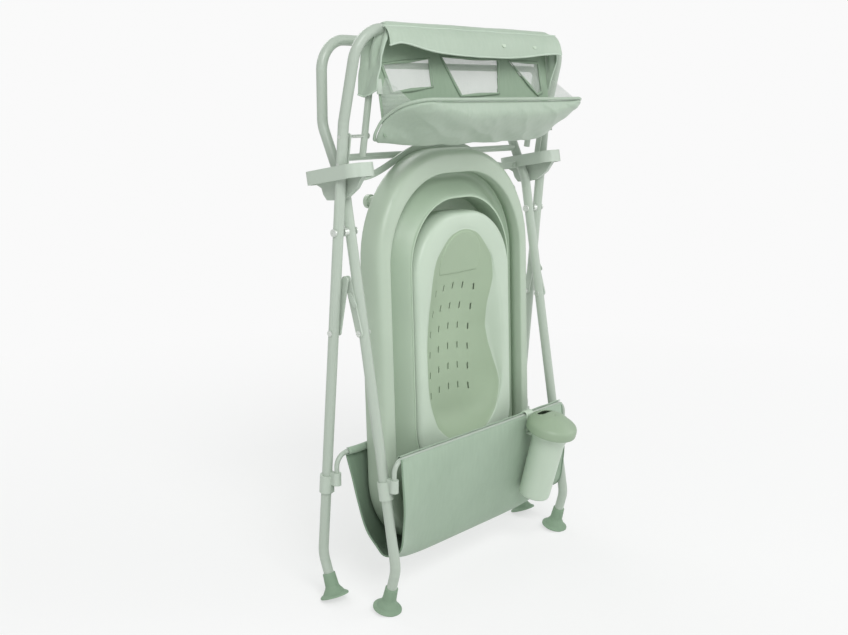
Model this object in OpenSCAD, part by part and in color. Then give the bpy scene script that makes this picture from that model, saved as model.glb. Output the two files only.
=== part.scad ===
// Baby bathtub with a folding stand, shown folded for storage.
// A folding two-frame stand holds a collapsible tub on end in a fabric basket,
// with a newborn seat nested in the tub, a rinse jug on the basket rod and a
// changing mat hung from the front rail. +Z is up, +X is to the right, +Y is
// to the rear, and z = 0 is the floor.

/* [Stand] */
// Half the distance between the two inner legs, centre to centre
inner_half_w = 270; // [262:1:290]
// Sideways step from an inner leg's axis to the outer leg's axis
leg_step = 30; // [28:0.5:34]
// Outside diameter of the main frame tube
tube_d = 19; // [17:0.5:20]
// Wall of the main frame tube
tube_wall = 1.3; // [1:0.1:1.8]
// Height of the crossing pivot above the floor
pivot_z = 696; // [680:1:715]
// Distance of the front feet in front of the crossing pivot
front_foot_reach = 83; // [76:1:92]
// Distance of the rear feet behind the crossing pivot
rear_foot_reach = 23.5; // [20:0.5:30]
// Lean of the front lower leg ends from upright, in degrees
front_end_lean = 15; // [12:0.5:17]
// Lean of the rear lower leg ends from upright, in degrees
rear_end_lean = 20; // [17:0.5:22]
// Height of the lower leg bends
leg_bend_z = 87; // [80:1:95]
// Radius of the bends along a leg, to the tube's axis
leg_bend_r = 60; // [40:1:70]
// Radius of the loops' upper corners, to the tube's axis
loop_corner_r = 55; // [40:1:65]
// Diameter of the crossing pivot pins
pivot_pin_d = 8; // [6:0.5:9]

/* [Upper loops] */
// Height of the rear loop's top rail, to its axis
rear_rail_z = 1028; // [1015:1:1040]
// Distance of the rear loop behind the pivot where it runs upright
rear_loop_y = 66; // [60:1:72]
// Height of the front loop's top rail, to its axis
front_rail_z = 1042; // [1030:1:1050]
// Forward lean of the front loop above its bend, in degrees
front_loop_lean = 13.5; // [11:0.5:15]
// Height of the front loop's bend
front_loop_bend_z = 885; // [875:1:895]
// Diameter of the crossbar between the rear loop's legs
crossbar_d = 12.5; // [11:0.5:13]
// Height of the crossbar's axis
crossbar_z = 822; // [818:1:828]

/* [Feet] */
// Diameter of a rubber foot's disc
foot_disc_d = 54; // [50:1:58]
// Thickness of the disc at its rim
foot_rim_t = 4; // [3:0.5:5]
// Height of the whole rubber foot along the leg end
foot_h = 44; // [40:1:48]
// Depth of the flat that a loaded foot presses against the floor
foot_flat = 0.8; // [0.6:0.1:1]

/* [Collars] */
// Length of the collar ring's opening, front to rear
collar_gap_l = 120; // [118:1:124]
// Width of the collar ring's opening beyond the two tubes, each side
collar_side_gap = 3.5; // [3:0.5:5]
// Thickness of the collar's band
collar_wall = 4; // [3:0.5:5]
// Height of the collar's band
collar_h = 24; // [20:1:26]
// Slope of the collar's top towards the front, in degrees
collar_slope = 10; // [9:0.5:12]

/* [Braces] */
// Distance of the brace rivets below the pivot, along the legs
brace_drop = 182; // [176:1:190]
// Length of a brace link between its rivets
brace_l = 98; // [94:1:102]
// Width of a brace link
brace_w = 14; // [12:0.5:16]
// Thickness of a brace link
brace_t = 3.6; // [3:0.1:4]

/* [Basket] */
// Diameter of the basket rods
rod_d = 9; // [8:0.5:10]
// Height of the front rod's axis
front_rod_z = 290; // [280:1:300]
// Height of the rear rod's axis
rear_rod_z = 285; // [275:1:295]
// Lowest point of the basket's outside
basket_low_z = 70; // [66:1:74]
// Thickness of the basket's fabric with its lining
fabric_t = 2; // [1.5:0.1:2.4]

/* [Tub] */
// Largest width of the tub's rim
tub_w = 456; // [440:1:466]
// Length of the tub
tub_l = 760; // [745:1:764]
// Depth of the collapsed tub's rim, front to rear as stored
tub_depth = 48; // [44:1:50]
// Backward lean of the stored tub, in degrees
tub_lean = 2; // [1.5:0.1:2.4]
// Wall of the tub's moulded parts
tub_wall = 3; // [2.5:0.1:3.5]

/* [Newborn seat] */
// Width of the seat insert
seat_w = 286; // [276:1:290]
// Length of the seat insert
seat_l = 506; // [480:1:506]
// How far the seat stands proud of the tub's rim plane
seat_proud = 12; // [8:1:16]

/* [Jug] */
// Height of the jug's body
jug_h = 160; // [150:1:166]
// Radius of the jug's base
jug_base_r = 32; // [30:1:34]
// Radius of the jug's flared rim
jug_rim_r = 48; // [46:1:50]
// Backward lean of the hung jug, in degrees
jug_lean = 15; // [13:1:16]

/* [Changing mat] */
// Width of the hanging mat
mat_w = 516; // [500:1:524]
// Thickness of the padded flap's cushion
pad_t = 15; // [12:1:18]
// Length of the padded flap from its fold to its free edge
pad_l = 113; // [105:1:118]
// Radius of the padded sleeve round the front rail
sleeve_r = 14; // [13:0.5:15]

/* [Hidden] */
$fn = 48;

// Clearances
fit_gap = 0.05;     // radial gap of a pin in its running bore
soft_gap = 0.3;     // gap between curved or soft neighbours on different bodies
cut_over = 1;       // overrun of a cutting shape
sink = 0.4;         // how far a joined piece of one solid runs into the next
bend_proud = 0.1;   // how far a tube's bend stands proud of its straights

// Colours
frame_colour = [0.73, 0.79, 0.72];
plastic_colour = [0.66, 0.74, 0.65];
soft_plastic_colour = [0.52, 0.61, 0.51];
rubber_colour = [0.5, 0.58, 0.49];
fabric_colour = [0.6, 0.67, 0.6];
net_colour = [0.86, 0.88, 0.87];
steel_colour = [0.7, 0.72, 0.7];

// The origin stands under the middle of the whole object
middle_y = -68.4;
function from_pivot(y) = y - middle_y;

// Frame geometry in the side plane, y from the pivot and z from the floor
tube_r = tube_d / 2;
bore_r = tube_r - tube_wall;
outer_half_w = inner_half_w + leg_step;
gap_x = inner_half_w + leg_step / 2;
foot_r = foot_disc_d / 2;
front_foot_z = foot_r * sin(front_end_lean) - foot_flat;
rear_foot_z = foot_r * sin(rear_end_lean) - foot_flat;
front_bend_y = -front_foot_reach - (leg_bend_z - front_foot_z) * tan(front_end_lean);
rear_bend_y = rear_foot_reach + (leg_bend_z - rear_foot_z) * tan(rear_end_lean);
inner_slope = front_bend_y / (leg_bend_z - pivot_z);
outer_slope = rear_bend_y / (leg_bend_z - pivot_z);
function inner_y(z) = (z - pivot_z) * inner_slope;
function outer_y(z) = (z - pivot_z) * outer_slope;
inner_lean = atan(inner_slope);
outer_lean = atan(outer_slope);

tube_in_foot = 12;
joint_rise = 44;
bend_rise = 62;
inner_joint_z = pivot_z + joint_rise;
inner_bend_z = pivot_z + bend_rise;
upright_z = 880;
outer_joint_z = 838;
front_rail_y = outer_y(front_loop_bend_z) - (front_rail_z - front_loop_bend_z) * tan(front_loop_lean);

front_foot_p = [-front_foot_reach, front_foot_z];
rear_foot_p = [rear_foot_reach, rear_foot_z];
front_end_dir = [-sin(front_end_lean), cos(front_end_lean)];
rear_end_dir = [sin(rear_end_lean), cos(rear_end_lean)];

// Rods and basket
rod_r = rod_d / 2;
rod_corner_r = 24;
front_rod_y = -100;
rear_rod_y = 17;
rod_in_front = 2;
rod_in_rear = 4;
rod_leg_h = 54;
rod_front_x = inner_half_w - rod_in_front;
rod_rear_x = outer_half_w - rod_in_rear;
rod_foot_front_z = front_rod_z - rod_leg_h;
rod_foot_rear_z = rear_rod_z - rod_leg_h;

// Tub frame: x across, h up the tub, d from the rim plane to the rear
tub_half_w = tub_w / 2;
tub_front_y = -51;
tub_low = [tub_front_y, basket_low_z + fabric_t + soft_gap + tub_depth * sin(tub_lean)];
tub_corner_low = 150;
tub_corner_high = 200;
rim_front_in = 12;
rim_side_w = 30;
rim_open_half_w = tub_half_w - rim_side_w;
basin_half_w = 149;
basin_low = 130;
basin_top_in = 92;
basin_high = tub_l - basin_top_in;
rim_open_low = 42;
rim_top_in = 47;
rim_open_high = tub_l - rim_top_in;
basin_proud = 4;
floor_d = 40;
seat_low = basin_low + tub_wall + soft_gap;
seat_half_w = seat_w / 2;
drain_r = 15;
drain_h = 560;

// Jug frame
jug_x = 136;
jug_wall = 2.5;
lid_over = 3;
jug_lid_r = jug_rim_r + lid_over;

// Mat
mat_half_w = mat_w / 2;
mat_t = 2.4;
mat_fold_z = 858;
mat_fold_y = -66;
pad_angle = 39;
flap_low_z = 1004;

// Moulded shapes and tubes

// A straight round bar from point a to point b, given as [x, y, z]
module bar(a, b, r) {
    run = b - a;
    len = norm(run);
    translate(a)
        rotate([0, acos(run[2] / len), atan2(run[1], run[0])])
            cylinder(h = len, r = r);
}

function unit(v) = v / norm(v);
function turn(a, b) = acos(max(-1, min(1, a * b)));
function tangent(p, i, r) =
    let (a = unit(p[i] - p[i - 1]), b = unit(p[i + 1] - p[i]))
    r * tan(turn(a, b) / 2);
function leave(p, i, r) =
    i == 0 ? p[0] : p[i] + unit(p[i + 1] - p[i]) * tangent(p, i, r);
function arrive(p, i, r) =
    i == len(p) - 1 ? p[i] : p[i] - unit(p[i] - p[i - 1]) * tangent(p, i, r);

// A round bar along flat points, with every inner point rounded to radius r_bend.
// A bend runs a little over its straights and stands a hair proud of them.
module bent_bar(p, r_bend, r, straights) {
    for (i = [0 : (is_undef(straights) ? len(p) - 1 : straights) - 1]) {
        a = leave(p, i, r_bend);
        b = arrive(p, i + 1, r_bend);
        bar([a[0], a[1], 0], [b[0], b[1], 0], r);
    }
    if (len(p) > 2) {
        for (i = [1 : len(p) - 2]) {
            a = unit(p[i] - p[i - 1]);
            b = unit(p[i + 1] - p[i]);
            bend = turn(a, b);
            centre = p[i] + unit(b - a) * (r_bend / cos(bend / 2));
            left = a[0] * b[1] - a[1] * b[0] > 0;
            from = (left ? arrive(p, i, r_bend) : leave(p, i, r_bend)) - centre;
            over = atan(sink / r_bend);
            translate([centre[0], centre[1], 0])
                rotate([0, 0, atan2(from[1], from[0]) - over])
                    rotate_extrude(angle = bend + 2 * over)
                        translate([r_bend, 0])
                            circle(r = r + bend_proud);
        }
    }
}

// The same points with both ends run on, for boring a tube
function run_on(p, extra) =
    [for (i = [0 : len(p) - 1])
        i == 0 ? p[0] - unit(p[1] - p[0]) * extra
        : i == len(p) - 1 ? p[i] + unit(p[i] - p[i - 1]) * extra
        : p[i]];

module bent_tube(p, r_bend) {
    difference() {
        bent_bar(p, r_bend, tube_r);
        bent_bar(run_on(p, cut_over), r_bend, bore_r);
    }
}

// Places a drawing made in x = y, y = z into the side plane at the given x
module side_plane(x) {
    translate([x, from_pivot(0), 0])
        rotate([90, 0, 90])
            children();
}

module cross_pin(x, y, z, r, l) {
    translate([x - l / 2, from_pivot(y), z])
        rotate([0, 90, 0])
            cylinder(h = l, r = r);
}

// Legs

outer_leg_path = [
    rear_foot_p + rear_end_dir * tube_in_foot,
    [rear_bend_y, leg_bend_z],
    [outer_y(outer_joint_z), outer_joint_z],
];
inner_leg_path = [
    front_foot_p + front_end_dir * tube_in_foot,
    [front_bend_y, leg_bend_z],
    [inner_y(inner_joint_z), inner_joint_z],
];

module outer_leg(side) {
    color(frame_colour)
        difference() {
            side_plane(side * outer_half_w)
                bent_tube(outer_leg_path, leg_bend_r);
            cross_pin(side * outer_half_w, 0, pivot_z, pivot_pin_d / 2, tube_d + 2 * cut_over);
            cross_pin(side * outer_half_w, brace_rear_p[0], brace_rear_p[1], rivet_r,
                      tube_d + 2 * cut_over);
            blind_hole(side, outer_joint_z - blind_step);
        }
}

module inner_leg(side) {
    color(frame_colour)
        difference() {
            side_plane(side * inner_half_w)
                bent_tube(inner_leg_path, leg_bend_r);
            cross_pin(side * inner_half_w, 0, pivot_z, pivot_pin_d / 2 + fit_gap, tube_d + 2 * cut_over);
            cross_pin(side * inner_half_w, brace_front_p[0], brace_front_p[1], rivet_r,
                      tube_d + 2 * cut_over);
        }
}

module outer_leg_left() { outer_leg(-1); }
module outer_leg_right() { outer_leg(1); }
module inner_leg_left() { inner_leg(-1); }
module inner_leg_right() { inner_leg(1); }

// Upper loops

rear_loop_side = [
    [inner_y(inner_joint_z), inner_joint_z],
    [inner_y(inner_bend_z), inner_bend_z],
    [rear_loop_y, upright_z],
    [rear_loop_y, rear_rail_z - loop_corner_r],
];

module rear_loop_bar(r, extra) {
    for (side = [-1, 1])
        side_plane(side * inner_half_w)
            bent_bar([for (i = [0 : 3]) i == 0 ? run_on(rear_loop_side, extra)[0] : rear_loop_side[i]],
                     leg_bend_r, r, 2);
    upright_low = upright_z + tangent(rear_loop_side, 2, leg_bend_r);
    translate([0, from_pivot(rear_loop_y), 0])
        rotate([90, 0, 0])
            bent_bar([
                [-inner_half_w, upright_low], [-inner_half_w, rear_rail_z],
                [inner_half_w, rear_rail_z], [inner_half_w, upright_low],
            ], loop_corner_r, r);
}

module rear_loop() {
    color(frame_colour)
        difference() {
            rear_loop_bar(tube_r, 0);
            rear_loop_bar(bore_r, cut_over);
        }
}

front_loop_rise = (front_rail_z - front_loop_bend_z) / cos(front_loop_lean);
front_loop_side = [
    [outer_y(outer_joint_z), outer_joint_z],
    [outer_y(front_loop_bend_z), front_loop_bend_z],
    [outer_y(front_loop_bend_z) - (front_loop_rise - loop_corner_r) * sin(front_loop_lean),
     front_loop_bend_z + (front_loop_rise - loop_corner_r) * cos(front_loop_lean)],
];

module front_loop_bar(r, extra) {
    for (side = [-1, 1])
        side_plane(side * outer_half_w)
            bent_bar([for (i = [0 : 2]) i == 0 ? run_on(front_loop_side, extra)[0] : front_loop_side[i]],
                     leg_bend_r, r, 1);
    loop_low = tangent(front_loop_side, 1, leg_bend_r);
    translate([0, from_pivot(outer_y(front_loop_bend_z)), front_loop_bend_z])
        rotate([90 + front_loop_lean, 0, 0])
            bent_bar([
                [-outer_half_w, loop_low], [-outer_half_w, front_loop_rise],
                [outer_half_w, front_loop_rise], [outer_half_w, loop_low],
            ], loop_corner_r, r);
}

module front_loop() {
    color(frame_colour)
        difference() {
            front_loop_bar(tube_r, 0);
            front_loop_bar(bore_r, cut_over);
            for (side = [-1, 1]) {
                cross_pin(side * (outer_half_w - tube_r), link_pivot_p[0], link_pivot_p[1], rivet_r, tube_d);
                blind_hole(side, outer_joint_z + blind_step);
            }
        }
}

// The crossbar lies behind the tub's top, welded to the rear loop's legs
lean_run = [rear_loop_y - inner_y(inner_bend_z), upright_z - inner_bend_z];
crossbar_y = inner_y(inner_bend_z) + (crossbar_z - inner_bend_z) * lean_run[0] / lean_run[1];

module crossbar() {
    color(frame_colour)
        difference() {
            bar([-inner_half_w, from_pivot(crossbar_y), crossbar_z],
                [inner_half_w, from_pivot(crossbar_y), crossbar_z], crossbar_d / 2);
            bar([-inner_half_w - cut_over, from_pivot(crossbar_y), crossbar_z],
                [inner_half_w + cut_over, from_pivot(crossbar_y), crossbar_z], crossbar_d / 2 - tube_wall);
            for (side = [-1, 1])
                side_plane(side * inner_half_w)
                    bent_bar([rear_loop_side[1], rear_loop_side[2]], leg_bend_r, tube_r);
        }
}

// Crossing pivots: head, spacer and shank in one pin, held by the outer leg
spacer_r = 8;
pin_head_r = 7;
pin_head_t = 3.5;
pin_end_t = 3;

module pivot_pin(side) {
    outside = outer_half_w + tube_r + pin_head_t;
    inside = inner_half_w - tube_r - pin_end_t;
    color(steel_colour)
        union() {
            cross_pin(side * (outside + inside) / 2, 0, pivot_z, pivot_pin_d / 2, outside - inside);
            cross_pin(side * (outside - pin_head_t / 2), 0, pivot_z, pin_head_r, pin_head_t);
            cross_pin(side * gap_x, 0, pivot_z, spacer_r, leg_step - tube_d - 2 * soft_gap);
            cross_pin(side * (inside + (pin_end_t - soft_gap) / 2), 0, pivot_z, pin_head_r,
                      pin_end_t - soft_gap);
        }
}

module pivot_pin_left() { pivot_pin(-1); }
module pivot_pin_right() { pivot_pin(1); }

// Blind rivets that lock the loops onto the legs, domed and seated in the tube's outer wall
blind_r = 3;
blind_in = 1.9;
blind_out = 1;
blind_ball_r = 6;
blind_step = 24;

module frame_rivets() {
    color(steel_colour)
        for (side = [-1, 1])
            for (z = [outer_joint_z - blind_step, outer_joint_z + blind_step])
                translate([side * (outer_half_w + tube_r - blind_in), from_pivot(outer_y(z)), z])
                    rotate([0, side * 90, 0])
                        intersection() {
                            cylinder(h = blind_in + blind_out, r = blind_r);
                            translate([0, 0, blind_in + blind_out - blind_ball_r])
                                sphere(r = blind_ball_r);
                        }
}

// The hole that a blind rivet sits in, through the outer wall alone
module blind_hole(side, z) {
    cross_pin(side * (outer_half_w + tube_r), outer_y(z), z, blind_r, 2 * blind_in + cut_over);
}

// Rubber feet, square to the leg ends
foot_sleeve_r = 13;
foot_cone_h = 20;
foot_hollow = 1.6;

module foot(p, lean) {
    color(rubber_colour)
        intersection() {
            translate([0, p[0] - middle_y, p[1]])
                rotate([lean, 0, 0])
                    difference() {
                        rotate_extrude()
                            polygon([
                                [0, foot_hollow],
                                [foot_r * 0.62, foot_hollow],
                                [foot_r * 0.74, 0],
                                [foot_r, 0],
                                [foot_r, foot_rim_t * 0.6],
                                [foot_r - foot_rim_t * 0.5, foot_rim_t],
                                [foot_r * 0.78, foot_rim_t * 1.6],
                                [foot_sleeve_r + foot_rim_t * 0.4, foot_cone_h * 0.8],
                                [foot_sleeve_r, foot_cone_h],
                                [foot_sleeve_r - foot_rim_t * 0.3, foot_h],
                                [0, foot_h],
                            ]);
                        translate([0, 0, tube_in_foot])
                            cylinder(h = foot_h, r = tube_r);
                    }
            translate([-foot_disc_d, p[0] - middle_y - foot_disc_d, 0])
                cube([2 * foot_disc_d, 2 * foot_disc_d, 2 * foot_disc_d]);
        }
}

module front_foot(side) {
    translate([side * inner_half_w, 0, 0])
        foot(front_foot_p, front_end_lean);
}
module rear_foot(side) {
    translate([side * outer_half_w, 0, 0])
        foot(rear_foot_p, -rear_end_lean);
}
module front_foot_left() { front_foot(-1); }
module front_foot_right() { front_foot(1); }
module rear_foot_left() { rear_foot(-1); }
module rear_foot_right() { rear_foot(1); }

// Collars: a ring round both tubes, with a web that lies between them
collar_z = 785;
collar_mid_y = 7;
collar_open_w = leg_step + tube_d + 2 * collar_side_gap;
collar_corner_r = 17;
web_t = leg_step - tube_d - 2 * soft_gap;

module round_slab(l, w, r, h) {
    union() {
        translate([-w / 2, -l / 2 + r, 0])
            cube([w, l - 2 * r, h]);
        translate([-w / 2 + r, -l / 2, 0])
            cube([w - 2 * r, l, h]);
        for (x = [-w / 2 + r, w / 2 - r])
            for (y = [-l / 2 + r, l / 2 - r])
                translate([x, y, 0])
                    cylinder(h = h, r = r);
    }
}

module collar(side) {
    color(plastic_colour)
        union() {
            translate([side * gap_x, from_pivot(collar_mid_y), collar_z])
                rotate([-collar_slope, 0, 0]) {
                    difference() {
                        round_slab(collar_gap_l + 2 * collar_wall, collar_open_w + 2 * collar_wall,
                                   collar_corner_r + collar_wall, collar_h);
                        translate([0, 0, -cut_over])
                            round_slab(collar_gap_l, collar_open_w, collar_corner_r, collar_h + 2 * cut_over);
                    }
                    translate([-web_t / 2, 0, 0])
                        rotate([90, 0, 90])
                            linear_extrude(height = web_t)
                                polygon([
                                    [-collar_gap_l / 2 - sink, collar_h * 0.4],
                                    [-collar_gap_l / 2 - sink, collar_h * 0.15],
                                    [-collar_gap_l * 0.32, -collar_h * 0.75],
                                    [-collar_gap_l * 0.1, -collar_h * 1.3],
                                    [collar_gap_l * 0.12, -collar_h * 1.35],
                                    [collar_gap_l * 0.3, -collar_h * 1.25],
                                    [collar_gap_l * 0.36, -collar_h * 0.8],
                                    [collar_gap_l * 0.38, -collar_h * 0.3],
                                    [collar_gap_l / 2 + sink, collar_h * 0.1],
                                    [collar_gap_l / 2 + sink, collar_h * 0.35],
                                ]);
                }
        }
}

module collar_left() { collar(-1); }
module collar_right() { collar(1); }

// Screws that hold the rest hoop's ends on the collars
hoop_screw_r = 4;
hoop_screw_t = 2;

module collar_screws() {
    color(steel_colour)
        for (side = [-1, 1])
            translate([side * (hoop_end_x - hoop_pad_l / 2), from_pivot(hoop_y) - hoop_screw_t,
                       hoop_z + hoop_h / 2])
                rotate([-90, 0, 0])
                    cylinder(h = hoop_screw_t, r = hoop_screw_r);
}

// Rest hoop: a thin arched strap from collar to collar that the tub's back leans on
hoop_end_x = gap_x - collar_open_w / 2 - collar_wall;
hoop_t = 3;
hoop_h = 13;
hoop_z = 780;
hoop_rise = 50;
hoop_foot_x = 214;
hoop_top_x = 40;
hoop_pad_l = 16;
hoop_y = tub_low[0] + tub_l * sin(tub_lean) + tub_depth + soft_gap;
hoop_steps = 40;
function ease(t) = let (s = max(0, min(1, t))) s * s * (3 - 2 * s);
function hoop_edge(x) = hoop_z + hoop_rise * ease((hoop_foot_x - abs(x)) / (hoop_foot_x - hoop_top_x));

module tub_rest_hoop() {
    xs = [for (i = [0 : hoop_steps]) -hoop_end_x + 2 * hoop_end_x * i / hoop_steps];
    color(plastic_colour)
        translate([0, from_pivot(hoop_y) + hoop_t, 0])
            rotate([90, 0, 0])
                linear_extrude(height = hoop_t)
                    polygon(concat(
                        [for (x = xs) [x, hoop_edge(x)]],
                        [for (i = [hoop_steps : -1 : 0]) [xs[i], hoop_edge(xs[i]) + hoop_h]]));
}

// Folding braces: two links a side that meet in a crossing-over joint
rivet_r = 3;
rivet_head_r = 5.5;
rivet_head_t = 1.5;
brace_rear_z = pivot_z - brace_drop * cos(outer_lean);
brace_front_z = pivot_z - brace_drop * cos(inner_lean);
brace_rear_p = [outer_y(brace_rear_z), brace_rear_z];
brace_front_p = [inner_y(brace_front_z), brace_front_z];
brace_span = norm(brace_front_p - brace_rear_p);
brace_across = unit(brace_front_p - brace_rear_p);
brace_apex = (brace_front_p + brace_rear_p) / 2
    + [brace_across[1], -brace_across[0]] * sqrt(brace_l * brace_l - brace_span * brace_span / 4);
// Inner faces of the gap between the two tubes, and each link's place in it
gap_in = inner_half_w + tube_r;
gap_out = outer_half_w - tube_r;
rear_link_x = gap_out - soft_gap - brace_t / 2;
front_link_x = gap_in + soft_gap + brace_t / 2;
lock_t = 2;
lock_share = 0.72;
lock_l = 20;
lock_w = 9;
lock_pin_r = 2.5;

module flat_link(a, b, x, w, t, hole_r) {
    run = b - a;
    translate([x, from_pivot(a[0]), a[1]])
        rotate([90, 0, 90])
            rotate([0, 0, atan2(run[1], run[0])])
                translate([0, 0, -t / 2])
                    difference() {
                        union() {
                            translate([0, -w / 2, 0])
                                cube([norm(run), w, t]);
                            for (at = [0, norm(run)])
                                translate([at, 0, 0])
                                    cylinder(h = t, r = w / 2);
                        }
                        translate([0, 0, -cut_over])
                            cylinder(h = t + 2 * cut_over, r = hole_r);
                    }
}

module brace_rear(side) {
    color(frame_colour)
        flat_link(brace_rear_p, brace_apex, side * rear_link_x, brace_w, brace_t, rivet_r + fit_gap);
}

lock_p = brace_front_p + (brace_apex - brace_front_p) * lock_share;
apex_boss_t = rear_link_x - front_link_x - brace_t - soft_gap;

module brace_front(side) {
    boss_x = front_link_x + (brace_t + apex_boss_t - sink) / 2;
    color(frame_colour)
        union() {
            flat_link(brace_front_p, brace_apex, side * front_link_x, brace_w, brace_t, rivet_r + fit_gap);
            cross_pin(side * boss_x, brace_apex[0], brace_apex[1], rivet_head_r, apex_boss_t + sink);
            cross_pin(side * boss_x, lock_p[0], lock_p[1], lock_pin_r, apex_boss_t + sink);
        }
}

module brace_rear_left() { brace_rear(-1); }
module brace_rear_right() { brace_rear(1); }
module brace_front_left() { brace_front(-1); }
module brace_front_right() { brace_front(1); }

// Lock tab on the front link, pressed to let the brace fold
module brace_lock(side) {
    along = unit(brace_front_p - brace_apex);
    forward = [-along[1], along[0]] * (along[1] < 0 ? -1 : 1);
    tip = lock_p + along * lock_l - [abs(forward[0]), forward[1] * sign(forward[0])] * (lock_w * 0.7);
    color(soft_plastic_colour)
        flat_link(lock_p, tip, side * (front_link_x + brace_t / 2 + soft_gap / 3 + lock_t / 2),
                  lock_w, lock_t, lock_pin_r + fit_gap);
}
module brace_lock_left() { brace_lock(-1); }
module brace_lock_right() { brace_lock(1); }

module leg_rivet(side, p, from_x, to_x, head_x) {
    mid = (from_x + to_x) / 2;
    cross_pin(side * mid, p[0], p[1], rivet_r, abs(to_x - from_x));
    cross_pin(side * (head_x), p[0], p[1], rivet_head_r, rivet_head_t);
}

module brace_rivets_outer() {
    inner_end = rear_link_x - brace_t / 2 - soft_gap - rivet_head_t;
    outer_end = outer_half_w + tube_r + rivet_head_t;
    color(steel_colour)
        for (side = [-1, 1])
            union() {
                leg_rivet(side, brace_rear_p, inner_end, outer_end, outer_end - rivet_head_t / 2);
                leg_rivet(side, brace_rear_p, inner_end, outer_end, inner_end + rivet_head_t / 2);
            }
}

module brace_rivets_inner() {
    outer_end = front_link_x + brace_t / 2 + soft_gap + rivet_head_t;
    inner_end = inner_half_w - tube_r - rivet_head_t;
    color(steel_colour)
        for (side = [-1, 1])
            union() {
                leg_rivet(side, brace_front_p, inner_end, outer_end, inner_end + rivet_head_t / 2);
                leg_rivet(side, brace_front_p, inner_end, outer_end, outer_end - rivet_head_t / 2);
            }
}

// Basket rods, each a shallow U whose ends stand in brackets on the legs
module basket_rod(half_w, y, foot_z, top_z, r) {
    translate([0, from_pivot(y), 0])
        rotate([90, 0, 0])
            bent_bar([[-half_w, foot_z], [-half_w, top_z], [half_w, top_z], [half_w, foot_z]],
                     rod_corner_r, r);
}

module basket_rod_front() {
    color(frame_colour)
        basket_rod(rod_front_x, front_rod_y, rod_foot_front_z, front_rod_z, rod_r);
}
module basket_rod_rear() {
    color(frame_colour)
        basket_rod(rod_rear_x, rear_rod_y, rod_foot_rear_z, rear_rod_z, rod_r);
}

bracket_wall = 3.5;
bracket_h = 34;
bracket_step_h = 16;
bracket_floor = 4;
socket_h = 24;

// A clamp round the leg with a stepped shoulder and a socket for the rod's end
module bracket(side, leg_x, leg_y, lean, rod_x, rod_y, foot_z) {
    low = foot_z - bracket_floor;
    color(plastic_colour)
        difference() {
            union() {
                translate([side * leg_x, from_pivot(leg_y), foot_z])
                    rotate([lean, 0, 0])
                        translate([0, 0, -bracket_h / 2 - bracket_floor])
                            cylinder(h = bracket_h, r = tube_r + bracket_wall);
                translate([side * rod_x, from_pivot(rod_y), low])
                    cylinder(h = socket_h, r = rod_r + bracket_wall);
                translate([side * (leg_x + rod_x) / 2 - rod_r, from_pivot(min(leg_y, rod_y)), low])
                    cube([2 * rod_r, abs(leg_y - rod_y), socket_h]);
                translate([side * (leg_x + rod_x) / 2 - rod_r,
                           from_pivot(leg_y) - (leg_y > rod_y ? tube_r + bracket_wall : 0),
                           low - bracket_step_h])
                    cube([2 * rod_r, tube_r + bracket_wall, bracket_step_h + sink]);
            }
            translate([side * leg_x, from_pivot(leg_y), foot_z])
                rotate([lean, 0, 0])
                    translate([0, 0, -bracket_h])
                        cylinder(h = 2 * bracket_h, r = tube_r);
            translate([side * rod_x, from_pivot(rod_y), foot_z])
                cylinder(h = socket_h, r = rod_r);
        }
}

module bracket_front(side) {
    bracket(side, inner_half_w, inner_y(rod_foot_front_z), -inner_lean,
            rod_front_x, front_rod_y, rod_foot_front_z);
}
module bracket_rear(side) {
    bracket(side, outer_half_w, outer_y(rod_foot_rear_z), -outer_lean,
            rod_rear_x, rear_rod_y, rod_foot_rear_z);
}
module bracket_front_left() { bracket_front(-1); }
module bracket_front_right() { bracket_front(1); }
module bracket_rear_left() { bracket_rear(-1); }
module bracket_rear_right() { bracket_rear(1); }

// Basket: a fabric sling with curved bottom, hemmed over the two rods
hem_r = rod_r + soft_gap + fabric_t;
hem_front_half_w = rod_front_x - rod_corner_r - rod_r;
hem_rear_half_w = rod_rear_x - rod_corner_r - rod_r;
basket_round_r = 14;
basket_front_low_y = -57;
basket_rear_low_y = tub_low[0] + tub_depth * cos(tub_lean);
basket_end_share = 0.8;
basket_mid_share = 0.45;
basket_end_rise = 17;
basket_mid_rise = 4;
basket_flat_half_w = tub_half_w - tub_corner_low + 12;
basket_stations = [
    [-basket_end_share * hem_rear_half_w, basket_end_rise],
    [-basket_mid_share * hem_rear_half_w, basket_mid_rise],
    [-basket_flat_half_w, 0],
    [basket_flat_half_w, 0],
    [basket_mid_share * hem_rear_half_w, basket_mid_rise],
    [basket_end_share * hem_rear_half_w, basket_end_rise],
];

module basket_body(inset, over) {
    hull() {
        translate([0, 0, front_rod_z - rod_r - fabric_t])
            linear_extrude(height = fabric_t + over)
                polygon([
                    [-hem_front_half_w + inset, from_pivot(front_rod_y - hem_r + inset)],
                    [hem_front_half_w - inset, from_pivot(front_rod_y - hem_r + inset)],
                    [hem_rear_half_w - inset, from_pivot(rear_rod_y + hem_r - inset)],
                    [-hem_rear_half_w + inset, from_pivot(rear_rod_y + hem_r - inset)],
                ]);
        for (s = basket_stations)
            for (y = [basket_front_low_y, basket_rear_low_y])
                translate([s[0], from_pivot(y), basket_low_z + s[1] + basket_round_r])
                    sphere(r = basket_round_r - inset, $fn = 24);
    }
}

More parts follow.
